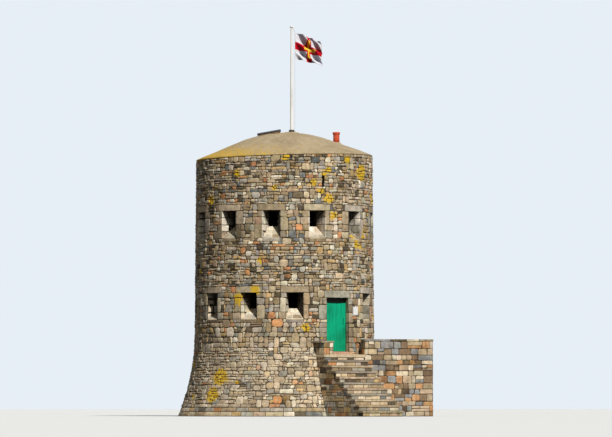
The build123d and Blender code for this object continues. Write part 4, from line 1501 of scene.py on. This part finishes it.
walls = [
    f"{wall}_wall_{side}" for wall in ("base", "entrance", "middle", "top")
    for side in ("right", "back", "left")
]
dress(NEW_MORTAR, *walls[:3])
dress(MORTAR, *walls[3:], "foot_course", "lower_piers", "upper_piers")
dress(MORTAR, "stair_body", "cheek_wall", "wing_wall", "lower_lintels", "upper_lintels", "door_lintel")
dress(LIMEWASH, "lower_sills", "upper_sills")
dress(DRESSED, "landing", "treads", "cheek_coping", "wing_coping")
dress(THRESHOLD_STONE, "threshold")

# %% [markdown]
# The wing wall is of squarer, larger and more colourful blocks than the tower, and is flat-sided. It could
# be one textured box, but its corners would give that away. Stones laid on each of its faces meet at the
# corners as real quoins do.

# %% Stones of the wing wall
WING_COPING = 0.075
WING_ROW = 0.20
WING_END_ROW = 0.22
WING_STONE = 0.27
WING_PROUD = (0.008, 0.024)
WALL_SPREAD = 0.42
WALL_SPLIT_FROM, WALL_SPLIT_SHARE = 0.18, 0.25


def wall_slots(start, end, rows, length):
    """Slots that fill an upright face from start to end, course by course."""
    slots = []
    for low, high in zip(rows[:-1], rows[1:]):
        count = max(1, round((end - start) / length))
        parts = rng.lognormal(0, WALL_SPREAD, count)
        cuts = start + np.concatenate([[0], np.cumsum(parts)]) * (end - start) / parts.sum()
        for pair in zip(cuts[:-1], cuts[1:]):
            whole = plain_slot(*pair, low, high)
            split = high - low > WALL_SPLIT_FROM and rng.random() < WALL_SPLIT_SHARE
            slots += split_slot(whole) if split else [whole]
    return slots


wing_head = WING_TOP - WING_COPING
side_rows = [FLOOR_GAP] + divided(FLOOR_GAP, wing_head, WING_ROW)
far_end = WING_CORNER + WING_LENGTH * WING_ALONG
wing_faces = [
    (WING_CORNER, -WING_ACROSS, WING_LENGTH, side_rows),
    (far_end, WING_ALONG, WING_THICKNESS, side_rows),
    (far_end + WING_THICKNESS * WING_ACROSS, WING_ACROSS, WING_LENGTH, side_rows),
    (WING_CORNER + WING_THICKNESS * WING_ACROSS, -WING_ALONG, WING_THICKNESS,
     [LANDING_TOP] + divided(LANDING_TOP, wing_head, WING_END_ROW)),
]
wing_lots = []
for start, normal, length, rows in wing_faces:
    slots, place = wall_slots(0, length, rows, WING_STONE), on_plane(start, normal)
    wing_lots.append(lay(slots, BLUNT_MASTERS, place, WING_PROUD, WING_TINTS, 0.007))
stone_piece("wing_wall_blocks", wing_lots)

# %% [markdown]
# Eleven risers climb to the landing, which lies between the wing wall and a low cheek wall. Stones on one
# big box would run across the treads, so each step is faced by itself: both flanks, from the tower's face
# out to the step's front, and then the riser.

# %% Stones of the stair
RISERS = 11
RISE = LANDING_TOP / RISERS
GOING = 0.215
LANDING_FRONT = 3.45
LANDING_SLAB = 0.10
TREAD = 0.07
NOSING = 0.03
FLANK_PROUD = (0.006, 0.014)
FRONT_PROUD = (0.004, 0.010)
FLANK_STONE = 0.26
RISER_STONE = 0.34


def step_front(index):
    """How far in front of the axis a step reaches; steps are counted down from the landing."""
    return LANDING_FRONT + index * GOING


def step_top(index):
    """Level of a step's top, counted in the same way."""
    return LANDING_TOP - index * RISE


def flank(x, side, front, rows, length, proud):
    """Stones on a side face at x, from the tower's face out to a front."""
    edge = math.sqrt(wall_radius(rows[0])**2 - x**2)
    slots = wall_slots(*sorted((-side * edge, -side * front)), rows, length)
    return lay(slots, SQUARE_MASTERS, on_plane((x, 0), (side, 0.0)), proud, TINTS)


def front(y, left, right, rows, length):
    """Stones across a front face at y."""
    slots = wall_slots(left, right, rows, length)
    return lay(slots, SQUARE_MASTERS, on_plane((0, y), (0.0, -1.0)), FRONT_PROUD, TINTS)


stair_lots = []
for index in range(RISERS):
    high = step_top(index) - (LANDING_SLAB if index == 0 else TREAD)
    low = max(step_top(index + 1) - TREAD, FLOOR_GAP)
    for x, side in ((STAIR_LEFT, -1.0), (STAIR_RIGHT, 1.0)):
        stair_lots.append(flank(x, side, step_front(index), [low, high], FLANK_STONE, FLANK_PROUD))
    rows = [max(step_top(index + 1), FLOOR_GAP), high]
    stair_lots.append(front(-step_front(index), STAIR_LEFT, STAIR_RIGHT, rows, RISER_STONE))
stone_piece("stair_stones", stair_lots)

# %% [markdown]
# The cheek wall is a low parapet on the landing's left. A texture of stones would run over its corners, so
# its two flanks and its front are laid with the helpers of the stair, in courses of its own.

# %% Stones of the cheek wall
CHEEK_ROW = 0.19
CHEEK_STONE = 0.22

low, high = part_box("cheek_wall")
rows = [low.z] + divided(low.z, high.z, CHEEK_ROW)
stone_piece("cheek_wall_stones", [
    flank(low.x, -1.0, -low.y, rows, CHEEK_STONE, FRONT_PROUD),
    flank(high.x, 1.0, -low.y, rows, CHEEK_STONE, FRONT_PROUD),
    front(low.y, low.x, high.x, rows, CHEEK_STONE),
])

# %% [markdown]
# Treads are single slabs with rounded edges, and feet have worn a shallow dip in the middle of each. The
# dip could be sculpted ten times over. One slab with a bell curve along its front edge gives it to all ten,
# and a little random movement makes each its own.

# %% Treads
WORN_DOWN = 0.010
WORN_BACK = 0.006
WORN_REACH = 0.42
TREAD_ROUGH = 0.0012

left, right = (corner.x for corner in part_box("treads"))
pattern, faces = slab_shape((right - left, GOING + NOSING, TREAD), 14, SLAB_ROUND)
tread_lots = []
for index in range(1, RISERS):
    points = pattern.copy()
    worn = np.exp(-((points[:, 0] / WORN_REACH) ** 2)) * (points[:, 2] > 0) * (points[:, 1] < 0.02)
    points[:, 2] -= WORN_DOWN * worn
    points[:, 1] += WORN_BACK * worn
    points = roughened(points, TREAD_ROUGH)
    nose = -step_front(index) - NOSING
    points += np.array([(left + right) / 2, nose + (GOING + NOSING) / 2, step_top(index) - TREAD / 2])
    points[:, 1] = np.maximum(points[:, 1], nose)
    tread_lots.append(tinted(points, faces, TREAD_TINTS))
tread_slabs = stone_piece("tread_slabs", tread_lots)
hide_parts("treads")

# %% [markdown]
# Copings throw the rain off a wall head. The cheek wall has one slab, and the wing wall five of uneven
# length with open joints, as a single long slab would crack. All are cut as the treads are.

# %% Copings of the cheek wall and the wing wall
CHEEK_SLAB = 0.52
COPING_LIP = 0.02
COPING_JOINT = 0.008
COPING_ROUGH = 0.002
COPING_SHARES = (0.52, 0.41, 0.58, 0.45, 0.51)

low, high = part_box("cheek_coping")
points, faces = slab_shape((high.x - low.x, CHEEK_SLAB, high.z - low.z), 5, 0.010)
points = roughened(points, COPING_ROUGH)
points += np.array([(low.x + high.x) / 2, low.y + CHEEK_SLAB / 2 + 0.002, (low.z + high.z) / 2])
cheek_slab = stone_piece("cheek_coping_slab", [tinted(points, faces, TREAD_TINTS)])
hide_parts("cheek_coping")

coping_lots = []
start = -COPING_LIP
for share in COPING_SHARES:
    run = share * ((WING_LENGTH + 2 * COPING_LIP) / sum(COPING_SHARES))
    size = (run - COPING_JOINT, WING_THICKNESS + 2 * COPING_LIP, WING_COPING)
    points, faces = slab_shape(size, 3, SLAB_ROUND)
    points = roughened(points, COPING_ROUGH)
    u, v = points[:, 0] + start + run / 2, points[:, 1] + WING_THICKNESS / 2
    flat = WING_CORNER + u[:, None] * WING_ALONG + v[:, None] * WING_ACROSS
    level = points[:, 2:] + WING_TOP - WING_COPING / 2
    coping_lots.append(tinted(np.concatenate([flat, level], axis=1), faces, WING_TINTS))
    start += run
wing_slabs = stone_piece("wing_coping_slabs", coping_lots)
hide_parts("wing_coping")

# %% [markdown]
# The roof is a trowelled coat of render over a brick vault, and slopes with the wall head. A sphere cut off
# at the wall would lack its straight flanks and the vault, so the cap is spun from its own section: rim,
# cone, rounded crown and vault. It is then tilted onto the wall head.

# %% Section of the roof
CAP_EDGE = 0.06
CAP_SLOPE = math.radians(21.0)
CROWN_ARC = 4.3
CROWN_THICKNESS = 0.33
SPRINGING = 1.942
CAP_STEPS = 160
RIM_ROUND = 0.006


def arc_points(radius, top, angles):
    """Points of an arc below a top on the axis, at angles from it."""
    return [(radius * math.sin(angle), top - radius * (1 - math.cos(angle))) for angle in angles]


def cap_outline():
    """Section of the cap: the vault below, then the rim, the cone and the rounded crown."""
    crown_edge = CROWN_ARC * math.sin(CAP_SLOPE)
    shoulder = CAP_EDGE + (CAP_RADIUS - crown_edge) * math.tan(CAP_SLOPE)
    apex = shoulder + CROWN_ARC * (1 - math.cos(CAP_SLOPE))
    soffit = apex - CROWN_THICKNESS
    vault_arc = (SPRINGING**2 + soffit**2) / (2 * soffit)
    vault_half = math.asin(SPRINGING / vault_arc)
    outline = arc_points(vault_arc, soffit, [vault_half * step / 10 for step in range(11)])
    outline += [(CAP_RADIUS - 0.02, 0.0), (CAP_RADIUS, 0.012), (CAP_RADIUS, CAP_EDGE - 0.02)]
    outline += [(CAP_RADIUS - RIM_ROUND, CAP_EDGE - RIM_ROUND)]
    for step in range(1, 15):
        radius = CAP_RADIUS - RIM_ROUND + (crown_edge - CAP_RADIUS) * step / 14
        outline.append((radius, CAP_EDGE + (CAP_RADIUS - radius) * math.tan(CAP_SLOPE)))
    outline += arc_points(CROWN_ARC, apex, [CAP_SLOPE * (1 - step / 12) for step in range(1, 12)])
    return outline + [(0.0, apex)]


roof = spun("roof_coat", cap_outline(), CAP_STEPS)
print("points of the roof", len(roof.data.vertices))

# %% [markdown]
# A trowel leaves the skin uneven by a few millimetres, and the rim has crumbled. A bump in the material
# would leave the outline as true as a turned bowl, so the points themselves are moved by a noise, more at
# the rim. The underside stays as it is, because it has to lie flat on the wall.

# %% The uneven skin of the roof
SKIN_RELIEF = 0.010
RIM_REACH = 0.15
RIM_CRUMBLE = 0.004
VAULT_EDGE, VAULT_RISE = 2.2, 0.36


def is_underside(place, radius):
    """True on the flat underside of the rim and on the vault."""
    return place.z <= 0.005 or place.z <= 0.02 + VAULT_RISE * (VAULT_EDGE - radius)


def smooth(piece):
    """Shades a piece smoothly."""
    for face in piece.data.polygons:
        face.use_smooth = True


for vertex in roof.data.vertices:
    place = vertex.co
    radius = math.hypot(place.x, place.y)
    if is_underside(place, radius):
        continue
    relief = SKIN_RELIEF * noise_field.fractal(place * 2.2, 0.6, 2.0, 4) - 0.004
    if radius > CAP_RADIUS - RIM_REACH:
        crumbled = noise_field.fractal(place * 5.0, 0.7, 2.0, 4)
        vertex.co.x *= 1 - RIM_CRUMBLE * max(0.0, crumbled + 0.4)
        vertex.co.y *= 1 - RIM_CRUMBLE * max(0.0, crumbled + 0.4)
        vertex.co.z += SKIN_RELIEF * crumbled
    vertex.co.z += relief
tilt = Matrix.Rotation(FALL_AZIMUTH, 4, "Z") @ Matrix.Rotation(HEAD_TILT, 4, "X")
roof.data.transform(Matrix.Translation((0, 0, WALL_HEAD)) @ tilt)
smooth(roof)
print("lowest point of the roof", round(min(vertex.co.z for vertex in roof.data.vertices), 3))

# %% [markdown]
# Lichen is thick on the roof's low side near the rim and thins out towards the crown, and rain has washed
# a pale streak down from the chimney pot. Both depend on the place alone, so each is worked out once for
# every point and stored there, where the material reads it.

# %% Lichen and wash on the roof
LOW_SIDE_AZIMUTH = math.radians(-118.0)
STREAK_HALF = 0.22


def middle_of(node):
    """Plan centre of a CAD node."""
    low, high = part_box(node)
    return (low.x + high.x) / 2, (low.y + high.y) / 2


POT_PLACE = middle_of("chimney_pot")


def polar(place):
    """Distance from the axis, and azimuth."""
    return math.hypot(place.x, place.y), math.atan2(place.x, -place.y)


def roof_lichen(place):
    """Share of lichen: more towards the rim, most on the low side, and a ring near the crown."""
    radius, azimuth = polar(place)
    low_side = 0.5 + 0.5 * math.cos(azimuth - LOW_SIDE_AZIMUTH)
    rim = min(1.0, max(0.0, (radius - 1.2) / 1.9))
    crown = 0.16 * math.exp(-((radius - 0.55) / 0.35) ** 2)
    return 0.22 + 0.34 * low_side**2 * rim + 0.06 * rim + crown


def roof_wash(place):
    """Share of the pale streak below the chimney pot, which fades out to both sides."""
    radius, azimuth = polar(place)
    pot_radius, pot_azimuth = polar(Vector((*POT_PLACE, 0)))
    beside = abs(azimuth - pot_azimuth) * radius
    return max(0.0, 1.0 - beside / STREAK_HALF) if radius > pot_radius else 0.0


for name, share_at in (("lichen", roof_lichen), ("wash", roof_wash)):
    shares = [share_at(vertex.co) for vertex in roof.data.vertices]
    roof.data.attributes.new(name, "FLOAT", "POINT").data.foreach_set("value", shares)
    print("most", name, "on the roof", round(max(shares), 2))

# %% [markdown]
# Render is sand and lime, so it takes the same grain of stone, larger and fainter. Over it go the pale
# streak, dirt, and a crust of lichen that is duller than on the wall.

# %% Render of the roof
coat = Finish("trowelled_render", 0.93, 0.2)
body = coat.effect("stone_grain", Colour=linear(166, 149, 120), Scale=2.6, Contrast=0.2)
pale = coat.mix("MIX", coat.attribute("wash")["Fac"], body["Colour"], linear(214, 204, 178))
dirty = coat.effect("streaks", Colour=pale, Dirt=linear(150, 138, 112), Amount=0.35)
amount, crust = coat.attribute("lichen")["Fac"], linear(196, 158, 66)
grown = coat.effect("growth", Colour=dirty["Colour"], Amount=amount, Crust=crust)
RENDER = coat.done(grown["Colour"], body["Height"], 0.01, 0.7)

roof = collect("roof_coat", RENDER)
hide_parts("roof_cap")

# %% [markdown]
# The flagpole stands in a low round plinth of the same render, with a rounded top that sheds water. A
# cylinder with a bevel would do, but spun from a section it takes its falling top in one go.

# %% Plinth of the flagpole
low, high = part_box("pole_plinth")
plinth_radius = (high.x - low.x) / 2
plinth_foot = low.z - high.z - 0.03
plinth_section = [
    (0.0, plinth_foot), (plinth_radius, plinth_foot), (plinth_radius - 0.01, -0.035),
    (plinth_radius - 0.03, -0.008), (plinth_radius - 0.06, 0.0), (0.0, 0.0),
]
spun("plinth_coat", plinth_section, 64, (*middle_of("pole_plinth"), high.z))
plinth = collect("plinth_coat", RENDER)
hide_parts("pole_plinth")

# %% [markdown]
# The chimney pot is red clay, thrown on a wheel, with a rolled rim. Spinning its section is the same craft,
# and gives the hollow inside too. A collar of render holds its foot.

# %% Chimney pot
POT_FOOT, POT_TOP = levels_of("chimney_pot")
CLAY = grained_finish(
    "red_clay", (196, 84, 54), (0.8, 0.3), (14.0, 0.25), ((120, 84, 70), 0.5), (0.004, 0.5),
)
pot_section = [
    (0.090, POT_FOOT - POT_TOP), (0.112, POT_FOOT - POT_TOP), (0.108, -0.20), (0.106, -0.11),
    (0.112, -0.085), (0.126, -0.070), (0.130, -0.050), (0.130, -0.022), (0.124, -0.006),
    (0.112, 0.0), (0.098, -0.004), (0.090, -0.02),
]
smooth(spun("clay_pot", pot_section, 48, (*POT_PLACE, POT_TOP)))
clay_pot = collect("clay_pot", CLAY)
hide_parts("chimney_pot")
collar_section = [(0.100, -0.50), (0.200, -0.50), (0.180, -0.400), (0.145, -0.360), (0.100, -0.350)]
spun("pot_collar", collar_section, 40, (*POT_PLACE, POT_TOP))
collect("pot_collar", RENDER)

# %% [markdown]
# The hatch is a flat lid dressed in lead, with three rolls where the sheets meet. Lead folds softly, so the
# lid is a slab with rounded edges and not a plain box, and the rolls are thin cylinders joined to it.

# %% Hatch
HATCH_PLACE = (-0.475, 0.245, 9.805)
HATCH_TURN = math.radians(-36.9)
HATCH_PITCH = math.radians(10.0)
LID_SIDE = 0.83
LID_THICKNESS = 0.04
ROLL_RADIUS = 0.016
ROLL_SPACING = 0.26


def join(pieces):
    """Joins objects into the first of them, which is then the active one."""
    deselect()
    for piece in pieces:
        piece.select_set(True)
    bpy.context.view_layer.objects.active = pieces[0]
    bpy.ops.object.join()
    return pieces[0]


points, faces = slab_shape((LID_SIDE, LID_SIDE, LID_THICKNESS), 6, 0.010)
parts = [new_piece("lead_lid", (points + np.array([0, 0, LID_THICKNESS / 2])).tolist(), [], faces)]
for place in (-ROLL_SPACING, 0.0, ROLL_SPACING):
    bpy.ops.mesh.primitive_cylinder_add(
        vertices=16, radius=ROLL_RADIUS, depth=LID_SIDE - 0.03, location=(0, place, LID_THICKNESS),
        rotation=(0, math.pi / 2, 0),
    )
    parts.append(bpy.context.object)
turned = Matrix.Rotation(HATCH_TURN, 4, "Z") @ Matrix.Rotation(-HATCH_PITCH, 4, "Y")
join(parts).data.transform(Matrix.Translation(HATCH_PLACE) @ turned)
LEAD = grained_finish(
    "weathered_lead", (74, 80, 90), (0.62, 0.5), (5.0, 0.2), ((96, 96, 92), 0.4), (0.003, 0.4),
)
lead_lid = collect("lead_lid", LEAD)
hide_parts("hatch_lid")

# %% [markdown]
# The door is seven upright boards on three ledges. Grooves cut into one panel would look alike all over, so
# each board is a box with small rounded edges, and the gaps between them are real. The green paint is
# brushed along the boards, and a dark band under the lintel is painted shadow and grime.

# %% Door
BOARD_COUNT = 7
BOARD_GAP = 0.002
BOARD_ROUND = 0.005
LEAF_THICKNESS = 0.055
LEDGE_LEVELS = (0.33, 0.96, 1.59)
LEDGE_HEIGHT = 0.13
LEDGE_END = 0.076
LINTEL_SHADOW_AND_GRIME = linear(34, 40, 32)

low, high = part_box("door_leaf")
board = (high.x - low.x) / BOARD_COUNT
ledge_depth = high.y - low.y - LEAF_THICKNESS
sizes = [(board - BOARD_GAP, LEAF_THICKNESS, high.z - low.z)] * BOARD_COUNT
places = [
    (low.x + board * (index + 0.5), low.y + LEAF_THICKNESS / 2, (low.z + high.z) / 2)
    for index in range(BOARD_COUNT)
]
sizes += [(2 * (high.x - LEDGE_END), ledge_depth, LEDGE_HEIGHT)] * len(LEDGE_LEVELS)
places += [(0.0, high.y - ledge_depth / 2, low.z + level) for level in LEDGE_LEVELS]
boards = []
for size, place in zip(sizes, places):
    boards.append(rounded_box(size, BOARD_ROUND, place))
    bpy.ops.object.mode_set(mode="OBJECT")
join(boards)

paint = Finish("green_paint", 0.5, 0.2)
vector = paint.stretched(paint.where, (6.0, 6.0, 0.5))
body = paint.effect("wood_grain", Vector=vector, Light=linear(2, 166, 122), Dark=linear(2, 150, 110))
dirty = paint.effect("streaks", Colour=body["Colour"], Dirt=linear(120, 168, 150), Amount=0.6)
# Painted shadow and grime: a dark band across the top of the boards, just under the lintel.
level = paint.add("SeparateXYZ", {0: paint.where})["Z"]
lintel_shadow_and_grime = paint.ramp(level, DOOR_HEAD - 0.19, DOOR_HEAD - 0.14)
colour = paint.mix("MIX", lintel_shadow_and_grime, dirty["Colour"], LINTEL_SHADOW_AND_GRIME)
DOOR_PAINT = paint.done(colour, body["Height"], 0.002, 0.5)
door_boards = collect("door_boards", DOOR_PAINT, body="door")
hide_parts("door_leaf")

# %% [markdown]
# Hinges, floors, the pole, the plate and the halyard are right as the CAD model has them, so they only get
# their finish. The shared grain serves for all: long for boards, upright for brushed paint, and fine and
# crosswise for the strands of the rope.

# %% Iron, timber, paint and rope
IRON = grained_finish(
    "painted_iron", (58, 46, 40), (0.6, 0.5), (30.0, 0.5), ((150, 104, 76), 0.5), (0.002, 0.5),
)
TIMBER = brushed_finish(
    "bare_timber", (0.85, 0.2), (0.6, 7.0, 7.0), linear(146, 122, 92), linear(92, 74, 54),
    ((150, 140, 124), 0.4), (0.003, 0.5),
)


def white_finish(name, colour, roughness, stretch):
    """White paint, enamel or rope, faintly streaked."""
    dark = tuple(0.86 * value for value in colour)
    return brushed_finish(
        name, (roughness, 0.45), stretch, colour, dark, ((196, 188, 170), 0.35), (0.001, 0.3),
    )


dress(IRON, "strap_hinges", "door_pintles", "pole_collar")
dress(DOOR_PAINT, "door_handle")
dress(TIMBER, "inner_lintel", "hatch_kerb", "entrance_joists", "upper_joists")
dress(TIMBER, "entrance_boards", "upper_boards")
dress(white_finish("pole_paint", linear(236, 235, 230), 0.45, (8.0, 8.0, 0.6)), "flagpole")
dress(white_finish("plate_enamel", linear(236, 236, 234), 0.35, (3.0, 3.0, 3.0)), "wall_plate")
dress(white_finish("rope_fibre", linear(206, 202, 192), 0.9, (60.0, 60.0, 160.0)), "halyard")

# %% [markdown]
# A flag flies in folds that swing from side to side and lean with the wind, and it droops towards its fly.
# A cloth simulation would have to be baked and would drift from the CAD solid. So each row of the cloth is
# a path whose heading swings, steep on one side of a fold and gentle on the other, along the solid's line.

# %% Folds of the flag
FLAG_FLY = 1.525
FLAG_HOIST = 0.915
FLAG_HEAD = 13.33
FLAG_AZIMUTH = math.radians(93.0)
FLAG_DROOP = math.radians(11.0)
FOLD_LEAN = 0.66
FOLD_SPACING = 0.40
FOLD_START = 0.14
STEEP = math.radians(80.0)
GENTLE = math.radians(15.0)
ACROSS, UP = 180, 100


def flag_points():
    """Points of the cloth row by row up the hoist, and how much painted shade each takes in the steep
    folds.
    """
    run = np.linspace(0, FLAG_FLY, ACROSS + 1)
    step = 0.95 * FLAG_FLY / ACROSS
    grown = np.clip(run / 0.30, 0, 1)
    points, creases = [], []
    for row in range(UP + 1):
        level = FLAG_HOIST * (row / UP - 1)
        phase = 2 * math.pi * (FOLD_LEAN * run + level - FOLD_START) / FOLD_SPACING
        phase += 1.2 * np.sin(2.4 * run + 3.0 * level + 3.0)
        steep = np.clip(np.cos(phase), 0, 1) ** 1.5
        heading = (GENTLE - (GENTLE + STEEP) * steep) * (0.30 + 0.70 * grown)
        along = np.concatenate([[0], np.cumsum(np.cos(heading[:-1]))]) * step
        side = np.concatenate([[0], np.cumsum(np.sin(heading[:-1]))]) * step
        side -= side[-1] * along / along[-1]
        gathered = level + 0.08 * grown * along / along[-1] * (-0.5 * FLAG_HOIST - level)
        drop = along * math.tan(FLAG_DROOP)
        points += np.stack([along, side, FLAG_HOIST + gathered - drop], axis=1).tolist()
        creases += (steep**0.5 * (0.4 + 0.6 * grown)).tolist()
    return points, creases


cloth_points, creases = flag_points()
print("points of the cloth", len(cloth_points))

# %% [markdown]
# The cloth is a grid with a flat map of its own, so that its pattern follows every fold, and Solidify gives
# it a real thickness. It is made flying along +X, which is azimuth 90, and is then turned into the wind and
# moved to the halyard.

# %% Cloth of the flag
CLOTH_THICKNESS = 0.0016
HOIST_OUT = 0.1575
POLE_PLACE = (0.2, -0.15)

stride = ACROSS + 1
starts = [row * stride + column for row in range(UP) for column in range(ACROSS)]
quads = [(first, first + 1, first + stride + 1, first + stride) for first in starts]
flag_cloth = new_piece("flag_cloth", cloth_points, [], quads)
flag_cloth.data.attributes.new("crease", "FLOAT", "POINT").data.foreach_set("value", creases)
uv = flag_cloth.data.uv_layers.new(name="cloth")
for loop in flag_cloth.data.loops:
    row, column = divmod(loop.vertex_index, stride)
    uv.data[loop.index].uv = (column / ACROSS, row / UP)
smooth(flag_cloth)
thickness = flag_cloth.modifiers.new("thickness", "SOLIDIFY")
thickness.thickness = CLOTH_THICKNESS
thickness.offset = 0.0
bpy.ops.object.modifier_apply(modifier="thickness")
to_pole = Matrix.Translation((*POLE_PLACE, FLAG_HEAD - FLAG_HOIST))
to_wind = Matrix.Rotation(FLAG_AZIMUTH - math.pi / 2, 4, "Z")
flag_cloth.data.transform(to_pole @ to_wind @ Matrix.Translation((HOIST_OUT, 0, 0)))
print("cloth faces", len(flag_cloth.data.polygons))

# %% [markdown]
# The pattern is a red cross on white with a plain gold cross in it, whose ends spread. Sewn pieces would
# pucker the cloth, and an image is not needed: each cross is where a point's distance to the middle lines
# is small. Shade is painted into the steep folds, by the value that the folds left at each point.

# %% Colours of the flag
RED_HALF = 0.125
GOLD_HALF = 0.048
GOLD_REACH = 0.325

bunting = Finish("flag_bunting", 0.85, 0.15)
cloth_map = bunting.add("UVMap", uv_map="cloth")["UV"]
parts = bunting.add("SeparateXYZ", {0: cloth_map})


def from_middle(share, length):
    """Distance from the cloth's middle line, in metres of cloth."""
    return bunting.times(bunting.math("ABSOLUTE", bunting.math("SUBTRACT", share, 0.5)), length)


x, y = from_middle(parts["X"], FLAG_FLY), from_middle(parts["Y"], FLAG_HOIST)
near, far = bunting.math("MINIMUM", x, y), bunting.math("MAXIMUM", x, y)
red = bunting.math("LESS_THAN", near, RED_HALF)
spreading = bunting.times(bunting.math("POWER", bunting.times(far, 3.0), 6.0), 0.030)
arm = bunting.math("LESS_THAN", near, bunting.plus(spreading, GOLD_HALF))
gold = bunting.times(arm, bunting.math("LESS_THAN", far, GOLD_REACH))
colour = bunting.mix("MIX", red, linear(222, 222, 228), linear(200, 16, 38))
colour = bunting.mix("MIX", gold, colour, linear(246, 200, 60))
# Painted shade: the steep folds are darkened by the value stored at each point.
colour = bunting.mix("MULTIPLY", bunting.attribute("crease")["Fac"], colour, linear(150, 148, 158))
weave = bunting.effect("stone_grain", Vector=cloth_map, Colour=colour, Scale=40.0, Contrast=0.05)
BUNTING = bunting.done(weave["Colour"], weave["Height"], 0.0002, 0.1)

flag_cloth = collect("flag_cloth", BUNTING)
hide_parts("flag")
print("flag", [round(value, 3) for value in flag_cloth.dimensions])

# %% [markdown]
